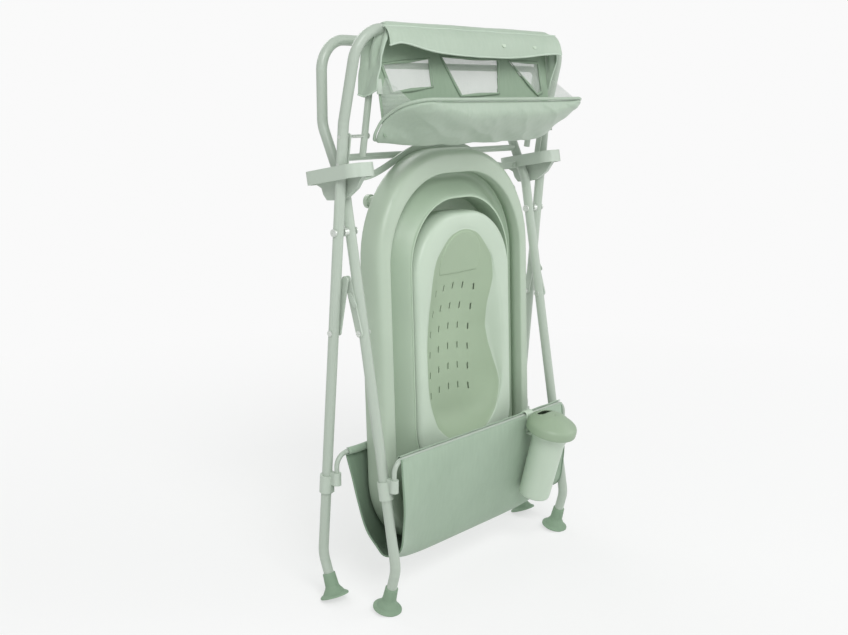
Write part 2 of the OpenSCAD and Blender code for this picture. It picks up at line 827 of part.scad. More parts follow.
module basket_fabric() {
    color(fabric_colour)
        difference() {
            union() {
                basket_body(0, 0);
                bar([-hem_front_half_w, from_pivot(front_rod_y), front_rod_z],
                    [hem_front_half_w, from_pivot(front_rod_y), front_rod_z], hem_r);
                bar([-hem_rear_half_w, from_pivot(rear_rod_y), rear_rod_z],
                    [hem_rear_half_w, from_pivot(rear_rod_y), rear_rod_z], hem_r);
            }
            basket_body(fabric_t, front_rod_z - rear_rod_z + fabric_t);
            basket_rod(rod_front_x, front_rod_y, rod_foot_front_z, front_rod_z, rod_r + soft_gap);
            basket_rod(rod_rear_x, rear_rod_y, rod_foot_rear_z, rear_rod_z, rod_r + soft_gap);
        }
}

// Tub: the module below stands a drawing up; x across, y up the tub, z towards the front
module in_tub() {
    translate([0, from_pivot(tub_low[0]), tub_low[1]])
        rotate([-tub_lean, 0, 0])
            rotate([90, 0, 0])
                children();
}

module round_outline(half_w, low, high, r_low, r_high) {
    polygon([
        [-half_w, low + r_low], [-half_w + r_low, low], [half_w - r_low, low], [half_w, low + r_low],
        [half_w, high - r_high], [half_w - r_high, high], [-half_w + r_high, high], [-half_w, high - r_high],
    ]);
    for (side = [-1, 1]) {
        translate([side * (half_w - r_low), low + r_low])
            circle(r = r_low);
        translate([side * (half_w - r_high), high - r_high])
            circle(r = r_high);
    }
}

module tub_outline(inset) {
    round_outline(tub_half_w - inset, inset, tub_l - inset, tub_corner_low - inset, tub_corner_high - inset);
}
module open_outline(inset) {
    round_outline(rim_open_half_w - inset, rim_open_low + inset, rim_open_high - inset,
                  open_corner_low - inset, open_corner_high - inset);
}
module basin_outline(inset) {
    round_outline(basin_half_w - inset, basin_low + inset, basin_high - inset,
                  basin_corner_low - inset, basin_corner_high - inset);
}
open_corner_low = 120;
open_corner_high = 165;
basin_corner_low = 105;
basin_corner_high = 130;

// The slab of an outline between two depths behind the rim plane
module slab(d_front, d_rear) {
    translate([0, 0, -d_rear])
        linear_extrude(height = d_rear - d_front)
            children();
}

band_d = 28;
crest_front_d = 8;
crest_inset = 20;
crest_w = 7;
edge_t = 0.5;

// Rim profile from the face to the rear edge: depth share and inset share
rim_shares = [[0, 1], [0.06, 0.5], [0.18, 0.18], [0.42, 0.05], [0.99, 0]];

module rim_shell(grow) {
    hull()
        for (s = rim_shares)
            slab(s[0] * tub_depth + (s[0] < 0.5 ? grow : grow / 2), s[0] * tub_depth + edge_t + grow)
                tub_outline(rim_front_in * s[1] + grow);
}

module tub_rim() {
    color(plastic_colour)
        in_tub()
        union() {
            difference() {
                rim_shell(0);
                difference() {
                    rim_shell(tub_wall);
                    slab(0, band_d)
                        open_outline(-tub_wall);
                }
                slab(-cut_over, tub_depth + cut_over)
                    open_outline(0);
                slab(band_d, tub_depth + cut_over)
                    tub_outline(tub_wall);
            }
            knob_places()
                translate([0, 0, -boss_d])
                    cylinder(h = boss_d - tub_wall + sink, r = hook_r);
        }
}

module tub_fold_band() {
    color(soft_plastic_colour)
        in_tub() {
            difference() {
                union() {
                    slab(band_d, band_d + tub_wall)
                        open_outline(-tub_wall);
                    slab(crest_front_d, band_d + sink)
                        open_outline(crest_inset);
                }
                slab(crest_front_d - cut_over, band_d - sink)
                    open_outline(crest_inset + crest_w);
                slab(crest_front_d - cut_over, band_d + tub_wall + cut_over)
                    basin_outline(0);
                slab(crest_front_d + tub_wall, band_d + tub_wall + cut_over)
                    difference() {
                        open_outline(crest_inset + tub_wall);
                        open_outline(crest_inset + crest_w - tub_wall);
                    }
            }
        }
}

module tub_base() {
    color(plastic_colour)
        in_tub()
            difference() {
                slab(-basin_proud, floor_d + tub_wall)
                    basin_outline(0);
                slab(-basin_proud - cut_over, floor_d)
                    basin_outline(tub_wall);
                translate([0, drain_h, -floor_d - tub_wall - cut_over])
                    cylinder(h = tub_wall + 2 * cut_over, r = drain_r + fit_gap);
            }
}

// Knobs behind the rim, each on a boss of the rim's own
hook_in = 17.6;
hook_turn = 36.3;
hook_x = tub_half_w - tub_corner_high + (tub_corner_high - hook_in) * cos(hook_turn);
hook_h = tub_l - tub_corner_high + (tub_corner_high - hook_in) * sin(hook_turn);
hook_r = 10;
hook_head_r = 13;
hook_out = 27;
low_foot_in = 21.2;
low_foot_turn = 47.5;
low_foot_x = tub_half_w - tub_corner_low + (tub_corner_low - low_foot_in) * cos(low_foot_turn);
low_foot_h = tub_corner_low - (tub_corner_low - low_foot_in) * sin(low_foot_turn);
low_foot_out = 4;
boss_d = 12;

module knob_places() {
    for (side = [-1, 1]) {
        translate([side * hook_x, hook_h, 0])
            children();
        translate([side * low_foot_x, low_foot_h, 0])
            children();
    }
}

module tub_feet() {
    color(soft_plastic_colour)
        in_tub()
            for (side = [-1, 1]) {
                translate([side * hook_x, hook_h, -tub_depth - hook_out])
                    union() {
                        cylinder(h = hook_out + tub_depth - boss_d, r = hook_r);
                        cylinder(h = hook_out / 3, r = hook_head_r);
                    }
                translate([side * low_foot_x, low_foot_h, -tub_depth - low_foot_out])
                    cylinder(h = low_foot_out + tub_depth - boss_d, r = hook_r);
            }
}

plug_flange_r = 19;
plug_flange_t = 3;
plug_tab = [12, 4, 9];

module drain_plug() {
    color(soft_plastic_colour)
        in_tub()
            translate([0, drain_h, -floor_d - tub_wall])
                union() {
                    cylinder(h = tub_wall, r = drain_r);
                    translate([0, 0, -plug_flange_t])
                        cylinder(h = plug_flange_t, r = plug_flange_r);
                    translate([-plug_tab[0] / 2, -plug_tab[1] / 2, -plug_flange_t - plug_tab[2]])
                        cube([plug_tab[0], plug_tab[1], plug_tab[2] + sink]);
                }
}

// Newborn seat: a shell with a waisted recess, drain slots and a head pad
seat_high = seat_low + seat_l;
seat_corner_low = 100;
seat_corner_high = 122;
seat_back_d = floor_d - soft_gap;
recess_d = 36;
recess_low_in = 52;
recess_high_in = 34;
recess_low = seat_low + recess_low_in;
recess_high = seat_high - recess_high_in;
lap_half_w = 116;
lap_high = 470;
lap_corner_low = 100;
lap_corner_high = 110;
lap_floor_half_w = 98;
lap_floor_in = 15;
lap_floor_high = 315;
lap_floor_corner = 80;
back_half_w = 92;
back_low = 260;
back_corner_r = 88;
back_floor_half_w = 64;
back_floor_low = 240;
back_floor_high = 430;
back_floor_corner = 50;
ramp_slope = atan((recess_d + seat_proud) / (recess_high - back_floor_high));
slot_w = 3.4;
slot_l = 13;
slot_rows = 6;
slot_columns = 5;
slot_row_step = 41;
slot_column_step = 29;
slot_first_h = 281;
slot_bow = 9;

module seat_outline(inset) {
    round_outline(seat_half_w - inset, seat_low + inset, seat_high - inset,
                  seat_corner_low - inset, seat_corner_high - inset);
}

// The bowl of the seat, grown by a wall for its underside
module recess_bowl(grow) {
    front = seat_proud + cut_over;
    hull() {
        slab(-front, -seat_proud)
            round_outline(lap_half_w + grow, recess_low - grow, lap_high + grow,
                          lap_corner_low + grow, lap_corner_high + grow);
        slab(recess_d + grow - edge_t, recess_d + grow)
            round_outline(lap_floor_half_w + grow, recess_low + lap_floor_in - grow, lap_floor_high + grow,
                          lap_floor_corner + grow, lap_floor_corner + grow);
    }
    hull() {
        slab(-front, -seat_proud)
            round_outline(back_half_w + grow, back_low - grow, recess_high + grow,
                          back_corner_r + grow, back_corner_r + grow);
        slab(recess_d + grow - edge_t, recess_d + grow)
            round_outline(back_floor_half_w + grow, back_floor_low - grow, back_floor_high + grow,
                          back_floor_corner + grow, back_floor_corner + grow);
    }
    on_ramp()
        translate([0, 0, -grow])
            cylinder(h = head_pocket_h, r = head_r + head_margin + grow);
}

// The head's place, square to the ramp that rises from the deep floor to the head end
module on_ramp() {
    translate([0, head_h, -recess_d + (head_h - back_floor_high) * tan(ramp_slope)])
        rotate([ramp_slope, 0, 0])
            children();
}

seat_edge_shares = [[0, 1], [0.3, 0.35], [1, 0]];
seat_edge_d = 12;
seat_edge_in = 8;

module seat_insert() {
    color(plastic_colour)
        in_tub()
            difference() {
                hull() {
                    for (s = seat_edge_shares)
                        slab(-seat_proud + s[0] * seat_edge_d, -seat_proud + s[0] * seat_edge_d + edge_t)
                            seat_outline(seat_edge_in * s[1]);
                    slab(seat_back_d - edge_t, seat_back_d)
                        seat_outline(0);
                }
                recess_bowl(0);
                difference() {
                    union() {
                        slab(-seat_proud + tub_wall, -seat_proud + seat_edge_d + tub_wall)
                            seat_outline(seat_edge_in + tub_wall);
                        slab(-seat_proud + seat_edge_d + tub_wall - sink, seat_back_d + cut_over)
                            seat_outline(tub_wall);
                    }
                    recess_bowl(tub_wall);
                }
                for (row = [0 : slot_rows - 1])
                    for (column = [0 : slot_columns - 1]) {
                        x = (column - (slot_columns - 1) / 2) * slot_column_step;
                        bow = slot_bow * pow(x / slot_column_step / 2, 2);
                        translate([x - slot_w / 2, slot_first_h + row * slot_row_step - bow,
                                   -seat_back_d - cut_over])
                            cube([slot_w, slot_l, seat_back_d + seat_proud]);
                    }
            }
}

head_r = 62;
head_margin = 2;
head_h = recess_high - head_r - head_margin;
head_flat_h = 23;
head_t = 2.5;
head_pocket_h = 30;

module headrest_pad() {
    color(soft_plastic_colour)
        in_tub()
            on_ramp()
                intersection() {
                    cylinder(h = head_t, r = head_r);
                    translate([-head_r, -head_flat_h, -cut_over])
                        cube([2 * head_r, 2 * head_r, head_t + 2 * cut_over]);
                }
}

// Jug: a tapered cup with a flared rim, hung on the front rod by its hook
jug_neck_r = 34;
jug_neck_drop = 28;
jug_rim_drop = 8;
jug_neck_h = jug_h - jug_neck_drop;
jug_rim_h = jug_h - jug_rim_drop;
jug_mid_h = jug_neck_h + (jug_rim_h - jug_neck_h) * 0.45;
jug_floor = 3;
hook_t = 2.5;
jug_hook_w = 26;
lid_gap = 0.5;
lid_skirt_h = 12;
lid_rise = 22;
lid_wall = 2.5;
lid_fit = 0.4;
lid_low_h = jug_h - lid_skirt_h;
jug_base_y = front_rod_y - hem_r - soft_gap - hook_t - lid_gap
    - jug_lid_r * cos(jug_lean) + lid_low_h * sin(jug_lean);

module in_jug() {
    translate([jug_x, from_pivot(jug_base_y), jug_base_z])
        rotate([jug_lean, 0, 0])
            children();
}
jug_base_z = 124;

hook_low_z = jug_base_z + jug_neck_h * cos(jug_lean);
hook_in_r = hem_r + soft_gap;

module jug_body() {
    color(plastic_colour)
        difference() {
            union() {
                in_jug()
                    rotate_extrude()
                        polygon([
                            [0, 0], [jug_base_r * 0.93, 0], [jug_base_r, jug_floor], [jug_neck_r, jug_neck_h],
                            [(jug_neck_r + jug_rim_r) / 2 + jug_floor, jug_mid_h],
                            [jug_rim_r, jug_rim_h], [jug_rim_r, jug_h], [0, jug_h],
                        ]);
                translate([jug_x - jug_hook_w / 2, from_pivot(front_rod_y), front_rod_z])
                    rotate([90, 0, 90])
                        linear_extrude(height = jug_hook_w)
                            difference() {
                                union() {
                                    circle(r = hook_in_r + hook_t);
                                    translate([-hook_in_r - hook_t, hook_low_z - front_rod_z])
                                        square([hook_t, front_rod_z - hook_low_z]);
                                }
                                circle(r = hook_in_r);
                                translate([-hook_in_r, -hook_in_r - 2 * hook_t])
                                    square([2 * (hook_in_r + hook_t), hook_in_r + 2 * hook_t]);
                            }
                translate([jug_x - jug_hook_w / 2, from_pivot(front_rod_y - hook_in_r - hook_t) - jug_web_l,
                           hook_low_z])
                    cube([jug_hook_w, jug_web_l + hook_t, jug_web_h]);
            }
            in_jug()
                rotate_extrude()
                    polygon([
                        [0, jug_floor], [jug_base_r - jug_wall, jug_floor],
                        [jug_neck_r - jug_wall, jug_neck_h], [(jug_neck_r + jug_rim_r) / 2, jug_mid_h],
                        [jug_rim_r - jug_wall, jug_rim_h], [jug_rim_r - jug_wall, jug_h + cut_over],
                        [0, jug_h + cut_over],
                    ]);
        }
}
jug_web_l = 20;
jug_web_h = 7;

module jug_lid() {
    color(plastic_colour)
        in_jug()
            difference() {
                rotate_extrude()
                    polygon([
                        [jug_rim_r + lid_fit, lid_low_h], [jug_lid_r, lid_low_h],
                        [jug_lid_r, jug_h + lid_wall], [jug_lid_r * 0.9, jug_h + lid_rise * 0.38],
                        [jug_lid_r * 0.7, jug_h + lid_rise * 0.72],
                        [jug_lid_r * 0.4, jug_h + lid_rise * 0.94],
                        [0, jug_h + lid_rise], [0, jug_h + lid_rise - lid_wall],
                        [jug_lid_r * 0.38, jug_h + lid_rise * 0.92 - lid_wall],
                        [jug_lid_r * 0.66, jug_h + lid_rise * 0.7 - lid_wall],
                        [jug_lid_r * 0.84, jug_h + lid_rise * 0.36 - lid_wall],
                        [jug_rim_r - jug_wall, jug_h + lid_fit], [jug_rim_r + lid_fit, jug_h + lid_fit],
                    ]);
                translate([-pour_w / 2, jug_lid_r * 0.3, jug_h - lid_wall])
                    round_mouth();
            }
}
pour_w = 40;
pour_l = 17;

module round_mouth() {
    translate([pour_l / 2, 0, 0])
        cube([pour_w - pour_l, pour_l, lid_rise + 2 * lid_wall]);
    for (x = [pour_l / 2, pour_w - pour_l / 2])
        translate([x, pour_l / 2, 0])
            cylinder(h = lid_rise + 2 * lid_wall, r = pour_l / 2);
}

// Changing mat, hung over the front rail
sleeve_half_w = outer_half_w - loop_corner_r - 2 * cut_over;
cover_half_w = sleeve_half_w - cut_over;
cover_in_r = sleeve_r + soft_gap;
cover_out_r = cover_in_r + mat_t;
shoulder_drop = 22;
shoulder_z = front_rail_z - shoulder_drop;
flap_out = 16;
flap_rise = 2;     // where the flap starts inside the sleeve's wall
flap_low_y = front_rail_y - cover_out_r - flap_out;
net_low_z = 935;
net_high_z = 998;
panel_lean = atan((front_rail_y + cover_out_r - mat_t / 2 - mat_fold_y) / (front_rail_z - mat_fold_z));

module mat_sleeve() {
    color(fabric_colour)
        difference() {
            bar([-sleeve_half_w, from_pivot(front_rail_y), front_rail_z],
                [sleeve_half_w, from_pivot(front_rail_y), front_rail_z], sleeve_r);
            bar([-sleeve_half_w - cut_over, from_pivot(front_rail_y), front_rail_z],
                [sleeve_half_w + cut_over, from_pivot(front_rail_y), front_rail_z], tube_r);
        }
}

// Rear panel as a drawing in its own plane: x across, y down from the rail
panel_l = norm([front_rail_z - mat_fold_z, front_rail_y + cover_out_r - mat_t / 2 - mat_fold_y]);
module in_panel() {
    translate([0, from_pivot(front_rail_y + cover_out_r - mat_t), front_rail_z])
        rotate([-panel_lean, 0, 0])
            rotate([90, 0, 0])
                translate([0, 0, -mat_t])
                    children();
}

// Windows: centre and top width, as shares of the mat's half width
window_shares = [[-0.65, 0.48], [0, 0.62], [0.66, 0.36]];
window_drop = 50;
window_h = 58;
window_narrow_share = 0.86;

module window(w, grow) {
    polygon([
        [-w * window_narrow_share - grow, -window_h - grow],
        [w * window_narrow_share + grow, -window_h - grow],
        [w + grow, grow], [-w - grow, grow],
    ]);
}

module mat_cover() {
    color(fabric_colour)
        union() {
            difference() {
                bar([-cover_half_w, from_pivot(front_rail_y), front_rail_z],
                    [cover_half_w, from_pivot(front_rail_y), front_rail_z], cover_out_r);
                bar([-cover_half_w - cut_over, from_pivot(front_rail_y), front_rail_z],
                    [cover_half_w + cut_over, from_pivot(front_rail_y), front_rail_z], cover_in_r);
                translate([-cover_half_w - cut_over, from_pivot(front_rail_y - cover_out_r - cut_over),
                           front_rail_z - 2 * cover_out_r])
                    cube([2 * (cover_half_w + cut_over), 2 * (cover_out_r + cut_over), 2 * cover_out_r]);
            }
            in_panel()
                linear_extrude(height = mat_t)
                    difference() {
                        union() {
                            translate([-cover_half_w + sink, -panel_l])
                                square([2 * (cover_half_w - sink), panel_l + sink]);
                            translate([-mat_half_w, -panel_l])
                                square([2 * mat_half_w, panel_l - front_rail_z + shoulder_z]);
                        }
                        for (s = window_shares)
                            translate([s[0] * mat_half_w, -window_drop])
                                window(s[1] * mat_half_w / 2, 0);
                    }
            translate([0, from_pivot(0), 0])
                rotate([90, 0, 90])
                    translate([0, 0, -cover_half_w + sink])
                        linear_extrude(height = 2 * (cover_half_w - sink))
                            polygon([
                                [front_rail_y - cover_in_r - sink, front_rail_z + flap_rise],
                                [front_rail_y - cover_out_r + sink, front_rail_z + flap_rise],
                                [flap_low_y - mat_t, flap_low_z], [flap_low_y, flap_low_z],
                            ]);
        }
}

// Nets in the windows, each one piece of crossing strands
net_t = 0.8;
strand_w = 1.4;
net_columns = 9;
net_rows = 6;

module mat_net_windows() {
    color(net_colour)
        in_panel()
            translate([0, 0, (mat_t - net_t) / 2])
                linear_extrude(height = net_t)
                    for (s = window_shares)
                        translate([s[0] * mat_half_w, -window_drop])
                            window_net(s[1] * mat_half_w / 2);
}

module window_net(w) {
    intersection() {
        window(w, 0);
        union() {
            difference() {
                window(w, 0);
                window(w - 2 * strand_w, -strand_w);
            }
            for (i = [1 : net_columns])
                translate([-w + 2 * w * i / (net_columns + 1) - strand_w / 2, -window_h])
                    square([strand_w, window_h]);
            for (i = [1 : net_rows])
                translate([-w, -window_h * i / (net_rows + 1) - strand_w / 2])
                    square([2 * w, strand_w]);
        }
    }
}

// Padded flap: a crowned cushion whose edges pinch in, rising forward from the fold
pad_steps_x = 28;
pad_steps_l = 8;
pad_edge_t = 3;
pad_sag = 4;
pad_end_in = 9;
pad_channel = 2.4;
pad_gap = 2.7;
pad_fold_y = mat_fold_y - pad_gap;
pad_fold_z = mat_fold_z;

function pad_half_t(u, v) =
    let (across = 1 - pow(abs(2 * u - 1), 8), along = 1 - pow(abs(2 * v - 1), 4),
         channel = pad_channel * exp(-pow((v - 0.5) / 0.07, 2)))
    pad_edge_t / 2 + max(0, (pad_t - pad_edge_t) / 2 * across * along - channel * across);
function pad_point(u, v, top) =
    let (x = (2 * u - 1) * (mat_half_w - pad_end_in * pow(v, 2) - pad_end_in * pow(abs(2 * v - 1), 4) / 2),
         l = v * pad_l, h = (top ? 1 : -1) * pad_half_t(u, v),
         sag = pad_sag * (1 - pow(2 * u - 1, 2)) * (1 - v))
    [x, from_pivot(pad_fold_y - l * cos(pad_angle) + h * sin(pad_angle)),
     pad_fold_z + l * sin(pad_angle) + h * cos(pad_angle) - sag];

function pad_index(i, j, top) = (top ? 0 : (pad_steps_x + 1) * (pad_steps_l + 1)) + j * (pad_steps_x + 1) + i;

module mat_pad() {
    points = concat(
        [for (j = [0 : pad_steps_l]) for (i = [0 : pad_steps_x])
            pad_point(i / pad_steps_x, j / pad_steps_l, true)],
        [for (j = [0 : pad_steps_l]) for (i = [0 : pad_steps_x])
            pad_point(i / pad_steps_x, j / pad_steps_l, false)]);
    faces = concat(
        [for (j = [0 : pad_steps_l - 1]) for (i = [0 : pad_steps_x - 1]) for (half = [0, 1])
            half == 0
            ? [pad_index(i, j, true), pad_index(i + 1, j, true), pad_index(i + 1, j + 1, true)]
            : [pad_index(i, j, true), pad_index(i + 1, j + 1, true), pad_index(i, j + 1, true)]],
        [for (j = [0 : pad_steps_l - 1]) for (i = [0 : pad_steps_x - 1]) for (half = [0, 1])
            half == 0
            ? [pad_index(i, j, false), pad_index(i + 1, j + 1, false), pad_index(i + 1, j, false)]
            : [pad_index(i, j, false), pad_index(i, j + 1, false), pad_index(i + 1, j + 1, false)]],
        [for (i = [0 : pad_steps_x - 1]) for (j = [0, pad_steps_l]) for (half = [0, 1])
            let (a = pad_index(i, j, true), b = pad_index(i + 1, j, true),
                 c = pad_index(i + 1, j, false), d = pad_index(i, j, false))
            j == 0 ? (half == 0 ? [a, c, b] : [a, d, c]) : (half == 0 ? [a, b, c] : [a, c, d])],
        [for (j = [0 : pad_steps_l - 1]) for (i = [0, pad_steps_x]) for (half = [0, 1])
            let (a = pad_index(i, j, true), b = pad_index(i, j + 1, true),
                 c = pad_index(i, j + 1, false), d = pad_index(i, j, false))
            i == 0 ? (half == 0 ? [a, b, c] : [a, c, d]) : (half == 0 ? [a, c, b] : [a, d, c])]);
    color(fabric_colour)
        polyhedron(points = points, faces = faces, convexity = 4);
}

// Net gussets that close the ends between the panel and the padded flap
gusset_t = 1;
gusset_in = 14;
gusset_x = mat_half_w - gusset_in;
gusset_high_z = 930;
gusset_lift = 3.5;
gusset_start = 12;
gusset_end = 96;
gusset_rows = 5;
gusset_columns = 5;
gusset_rear_y = mat_fold_y + (gusset_high_z - mat_fold_z) * tan(panel_lean) - mat_t - soft_gap;
function over_pad(l, h) =
    [pad_fold_y - l * cos(pad_angle) + h * sin(pad_angle),
     pad_fold_z + l * sin(pad_angle) + h * cos(pad_angle)];
gusset_low_p = over_pad(gusset_start, gusset_lift);
gusset_rear_p = [gusset_rear_y, gusset_high_z];
gusset_front_p = over_pad(gusset_end, gusset_lift);

module flat_strand(a, b) {
    run = b - a;
    translate(a)
        rotate(atan2(run[1], run[0]))
            translate([-strand_w / 2, -strand_w / 2])
                square([norm(run) + strand_w, strand_w]);
}

module mat_side_nets() {
    color(net_colour)
        for (side = [-1, 1])
            side_plane(side * gusset_x)
                translate([0, 0, -gusset_t / 2])
                    linear_extrude(height = gusset_t)
                        intersection() {
                            polygon([gusset_low_p, gusset_rear_p, gusset_front_p]);
                            union() {
                                flat_strand(gusset_low_p, gusset_rear_p);
                                flat_strand(gusset_low_p, gusset_front_p);
                                flat_strand(gusset_rear_p, gusset_front_p);
                                for (i = [1 : gusset_rows]) {
                                    s = i / (gusset_rows + 1);
                                    flat_strand(gusset_low_p + (gusset_rear_p - gusset_low_p) * s,
                                                gusset_low_p + (gusset_front_p - gusset_low_p) * s);
                                }
                                for (i = [1 : gusset_columns]) {
                                    s = i / (gusset_columns + 1);
                                    flat_strand(gusset_low_p,
                                                gusset_rear_p + (gusset_front_p - gusset_rear_p) * s);
                                }
                            }
                        }
}

snap_r = 6;
snap_t = 2;
snap_xs = [-128, 66, 165];

module mat_snaps() {
    color(steel_colour)
        for (x = snap_xs)
            translate([x, from_pivot((front_rail_y - cover_out_r + sink + flap_low_y - mat_t) / 2),
                       (front_rail_z + flap_rise + flap_low_z) / 2])
                rotate([90 - flap_tilt, 0, 0])
                    cylinder(h = snap_t, r = snap_r);
}
flap_tilt = atan((flap_out + mat_t + sink) / (front_rail_z + flap_rise - flap_low_z));

strap_size = [12, 3, 26];

module mat_strap() {
    color(soft_plastic_colour)
        in_panel()
            translate([-mat_half_w, -strap_drop - strap_size[2], mat_t])
                cube([strap_size[0], strap_size[2], strap_size[1]]);
}
strap_drop = 84;

// Mat support: a thin U tube that swings back on rivets in the front loop
support_r = 6;
support_x = 246;
support_low = 36;
support_top = 122;
support_corner_r = 30;
support_lean = 9;
link_pivot_z = 862;
link_pivot_p = [outer_y(link_pivot_z), link_pivot_z];
link_w = 12;
link_t = 3;
link_drop = 48;
link_in = 4;
link_x = gap_out - link_in;

module mat_support_tube() {
    color(frame_colour)
        difference() {
            translate([0, from_pivot(link_pivot_p[0]), link_pivot_p[1]])
                rotate([90 + support_lean, 0, 0])
                    difference() {
                        bent_bar([[-support_x, -support_low], [-support_x, support_top],
                                  [support_x, support_top], [support_x, -support_low]],
                                 support_corner_r, support_r);
                        bent_bar([[-support_x, -support_low - cut_over], [-support_x, support_top],
                                  [support_x, support_top], [support_x, -support_low - cut_over]],
                                 support_corner_r, support_r - tube_wall);
                    }
            for (side = [-1, 1])
                cross_pin(side * support_x, link_pivot_p[0], link_pivot_p[1], rivet_r + fit_gap,
                          2 * support_r + 2 * cut_over);
        }
}

module mat_links() {
    color(frame_colour)
        for (side = [-1, 1])
            flat_link(link_pivot_p,
                      link_pivot_p + [link_drop * sin(panel_lean), -link_drop * cos(panel_lean)],
                      side * link_x, link_w, link_t, rivet_r);
}

module mat_link_rivets() {
    inner_end = support_x - support_r - rivet_head_t - soft_gap;
    color(steel_colour)
        for (side = [-1, 1])
            union() {
                cross_pin(side * (inner_end + outer_half_w) / 2, link_pivot_p[0], link_pivot_p[1], rivet_r,
                          outer_half_w - inner_end);
                cross_pin(side * (inner_end + rivet_head_t / 2), link_pivot_p[0], link_pivot_p[1],
                          rivet_head_r, rivet_head_t);
            }
}

outer_leg_left();
outer_leg_right();
front_loop();
inner_leg_left();
inner_leg_right();
rear_loop();
crossbar();
pivot_pin_left();
pivot_pin_right();
frame_rivets();
front_foot_left();
front_foot_right();
rear_foot_left();
rear_foot_right();
collar_left();
collar_right();
tub_rest_hoop();
collar_screws();
brace_rear_left();
brace_rear_right();
brace_front_left();
brace_front_right();
brace_lock_left();
brace_lock_right();
brace_rivets_outer();
brace_rivets_inner();
basket_rod_front();
basket_rod_rear();
bracket_front_left();
bracket_front_right();
bracket_rear_left();
bracket_rear_right();
basket_fabric();
tub_rim();
tub_fold_band();
tub_base();
tub_feet();
drain_plug();
seat_insert();
headrest_pad();
jug_body();
jug_lid();
mat_sleeve();
mat_cover();
mat_net_windows();
mat_pad();
mat_side_nets();
mat_snaps();
mat_strap();
mat_support_tube();
mat_links();
mat_link_rivets();
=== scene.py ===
import math

import bmesh
import bpy
import numpy as np
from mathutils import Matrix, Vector


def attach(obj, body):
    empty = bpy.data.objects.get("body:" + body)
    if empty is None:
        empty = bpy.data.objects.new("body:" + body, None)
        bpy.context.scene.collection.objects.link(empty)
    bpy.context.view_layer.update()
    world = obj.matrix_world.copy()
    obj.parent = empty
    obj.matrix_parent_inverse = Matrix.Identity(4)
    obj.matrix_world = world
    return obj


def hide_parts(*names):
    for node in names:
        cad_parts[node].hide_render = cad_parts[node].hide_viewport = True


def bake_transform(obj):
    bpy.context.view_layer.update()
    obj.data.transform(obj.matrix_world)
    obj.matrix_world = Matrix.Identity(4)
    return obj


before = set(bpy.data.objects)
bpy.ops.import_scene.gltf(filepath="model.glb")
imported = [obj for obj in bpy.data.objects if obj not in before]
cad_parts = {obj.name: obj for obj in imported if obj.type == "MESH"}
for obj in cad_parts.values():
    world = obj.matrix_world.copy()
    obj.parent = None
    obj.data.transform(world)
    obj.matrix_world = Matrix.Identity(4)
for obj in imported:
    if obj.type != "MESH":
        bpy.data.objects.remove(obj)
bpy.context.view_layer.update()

# Lengths are in millimetres: x across, y from the leg pivot (less is nearer the front), z up.
MIDDLE_Y = -68.4
TUB_LEAN = math.radians(2)
TUB_LOW = (-51.0, 73.975)
RAIL_Y = -53.86
RAIL_Z = 1042.0
ROD_FRONT = (-100.0, 290.0)
ROD_REAR = (17.0, 285.0)
JUG_LEAN = math.radians(15)
JUG_X = 136.0
JUG_BASE = (-121.057, 124.0)

# The camera, in metres and degrees
CAMERA_PLACE = (-1.70159, -1.33893, 0.9367)
CAMERA_DOWN = 11.2
CAMERA_TURN = 49.21
CAMERA_LENS = 48.28
LAMP_AIM = (0.0, 0.0, 0.55)
FULL_TURN = 2 * math.pi


def in_metres(points):
    p = np.asarray(points, float).reshape(-1, 3)
    return np.column_stack([p[:, 0], p[:, 1] - MIDDLE_Y, p[:, 2]]) * 0.001


def in_tub(x, h, d):
    """A point of the tub: across, up the tub and behind its front face."""
    x, h, d = np.broadcast_arrays(np.asarray(x, float), h, d)
    y = TUB_LOW[0] + h * math.sin(TUB_LEAN) + d * math.cos(TUB_LEAN)
    z = TUB_LOW[1] + h * math.cos(TUB_LEAN) - d * math.sin(TUB_LEAN)
    return np.stack([x, y, z], axis=-1)


def in_jug(x, y, z):
    """A point of the jug, from the middle of its base."""
    x, y, z = np.broadcast_arrays(np.asarray(x, float), y, z)
    return np.stack([
        JUG_X + x,
        JUG_BASE[0] + y * math.cos(JUG_LEAN) - z * math.sin(JUG_LEAN),
        JUG_BASE[1] + y * math.sin(JUG_LEAN) + z * math.cos(JUG_LEAN),
    ], axis=-1)


def smooth_noise(a, b, seed):
    """A soft repeatable ripple from -1 to 1 over two running numbers."""
    generator = np.random.default_rng(seed)
    total = np.zeros(np.broadcast(a, b).shape)
    all_heights = 2.45
    for wave in range(6):
        turn = generator.uniform(0, FULL_TURN)
        pace = 0.6 + 0.5 * wave
        shift = generator.uniform(0, 6.3)
        height = 1 + wave
        total += np.sin(pace * (a * math.cos(turn) + b * math.sin(turn)) + shift) / height
    return total / all_heights


def camera_and_light():
    scene = bpy.context.scene
    data = bpy.data.cameras.new("photo_camera")
    data.lens = CAMERA_LENS
    data.sensor_width = 36
    camera = bpy.data.objects.new("photo_camera", data)
    camera.location = CAMERA_PLACE
    camera.rotation_euler = (math.radians(90 - CAMERA_DOWN), 0, math.radians(-CAMERA_TURN))
    scene.collection.objects.link(camera)
    scene.camera = camera
    scene.view_settings.view_transform = "Standard"

    lamps = [
        ("key_lamp", (-1.9, -2.6, 3.0), 2.2, 78.0),
        ("fill_lamp", (2.6, -2.2, 1.8), 2.4, 26.0),
        ("back_lamp", (0.8, 2.8, 2.6), 2.4, 34.0),
    ]
    for name, place, size, power in lamps:
        lamp = bpy.data.lights.new(name, "AREA")
        lamp.shape = "DISK"
        lamp.size = size
        lamp.energy = power
        holder = bpy.data.objects.new(name, lamp)
        scene.collection.objects.link(holder)
        holder.location = place
        direction = np.array(LAMP_AIM) - np.array(place)
        holder.rotation_euler = Vector(direction).to_track_quat("-Z", "Y").to_euler()


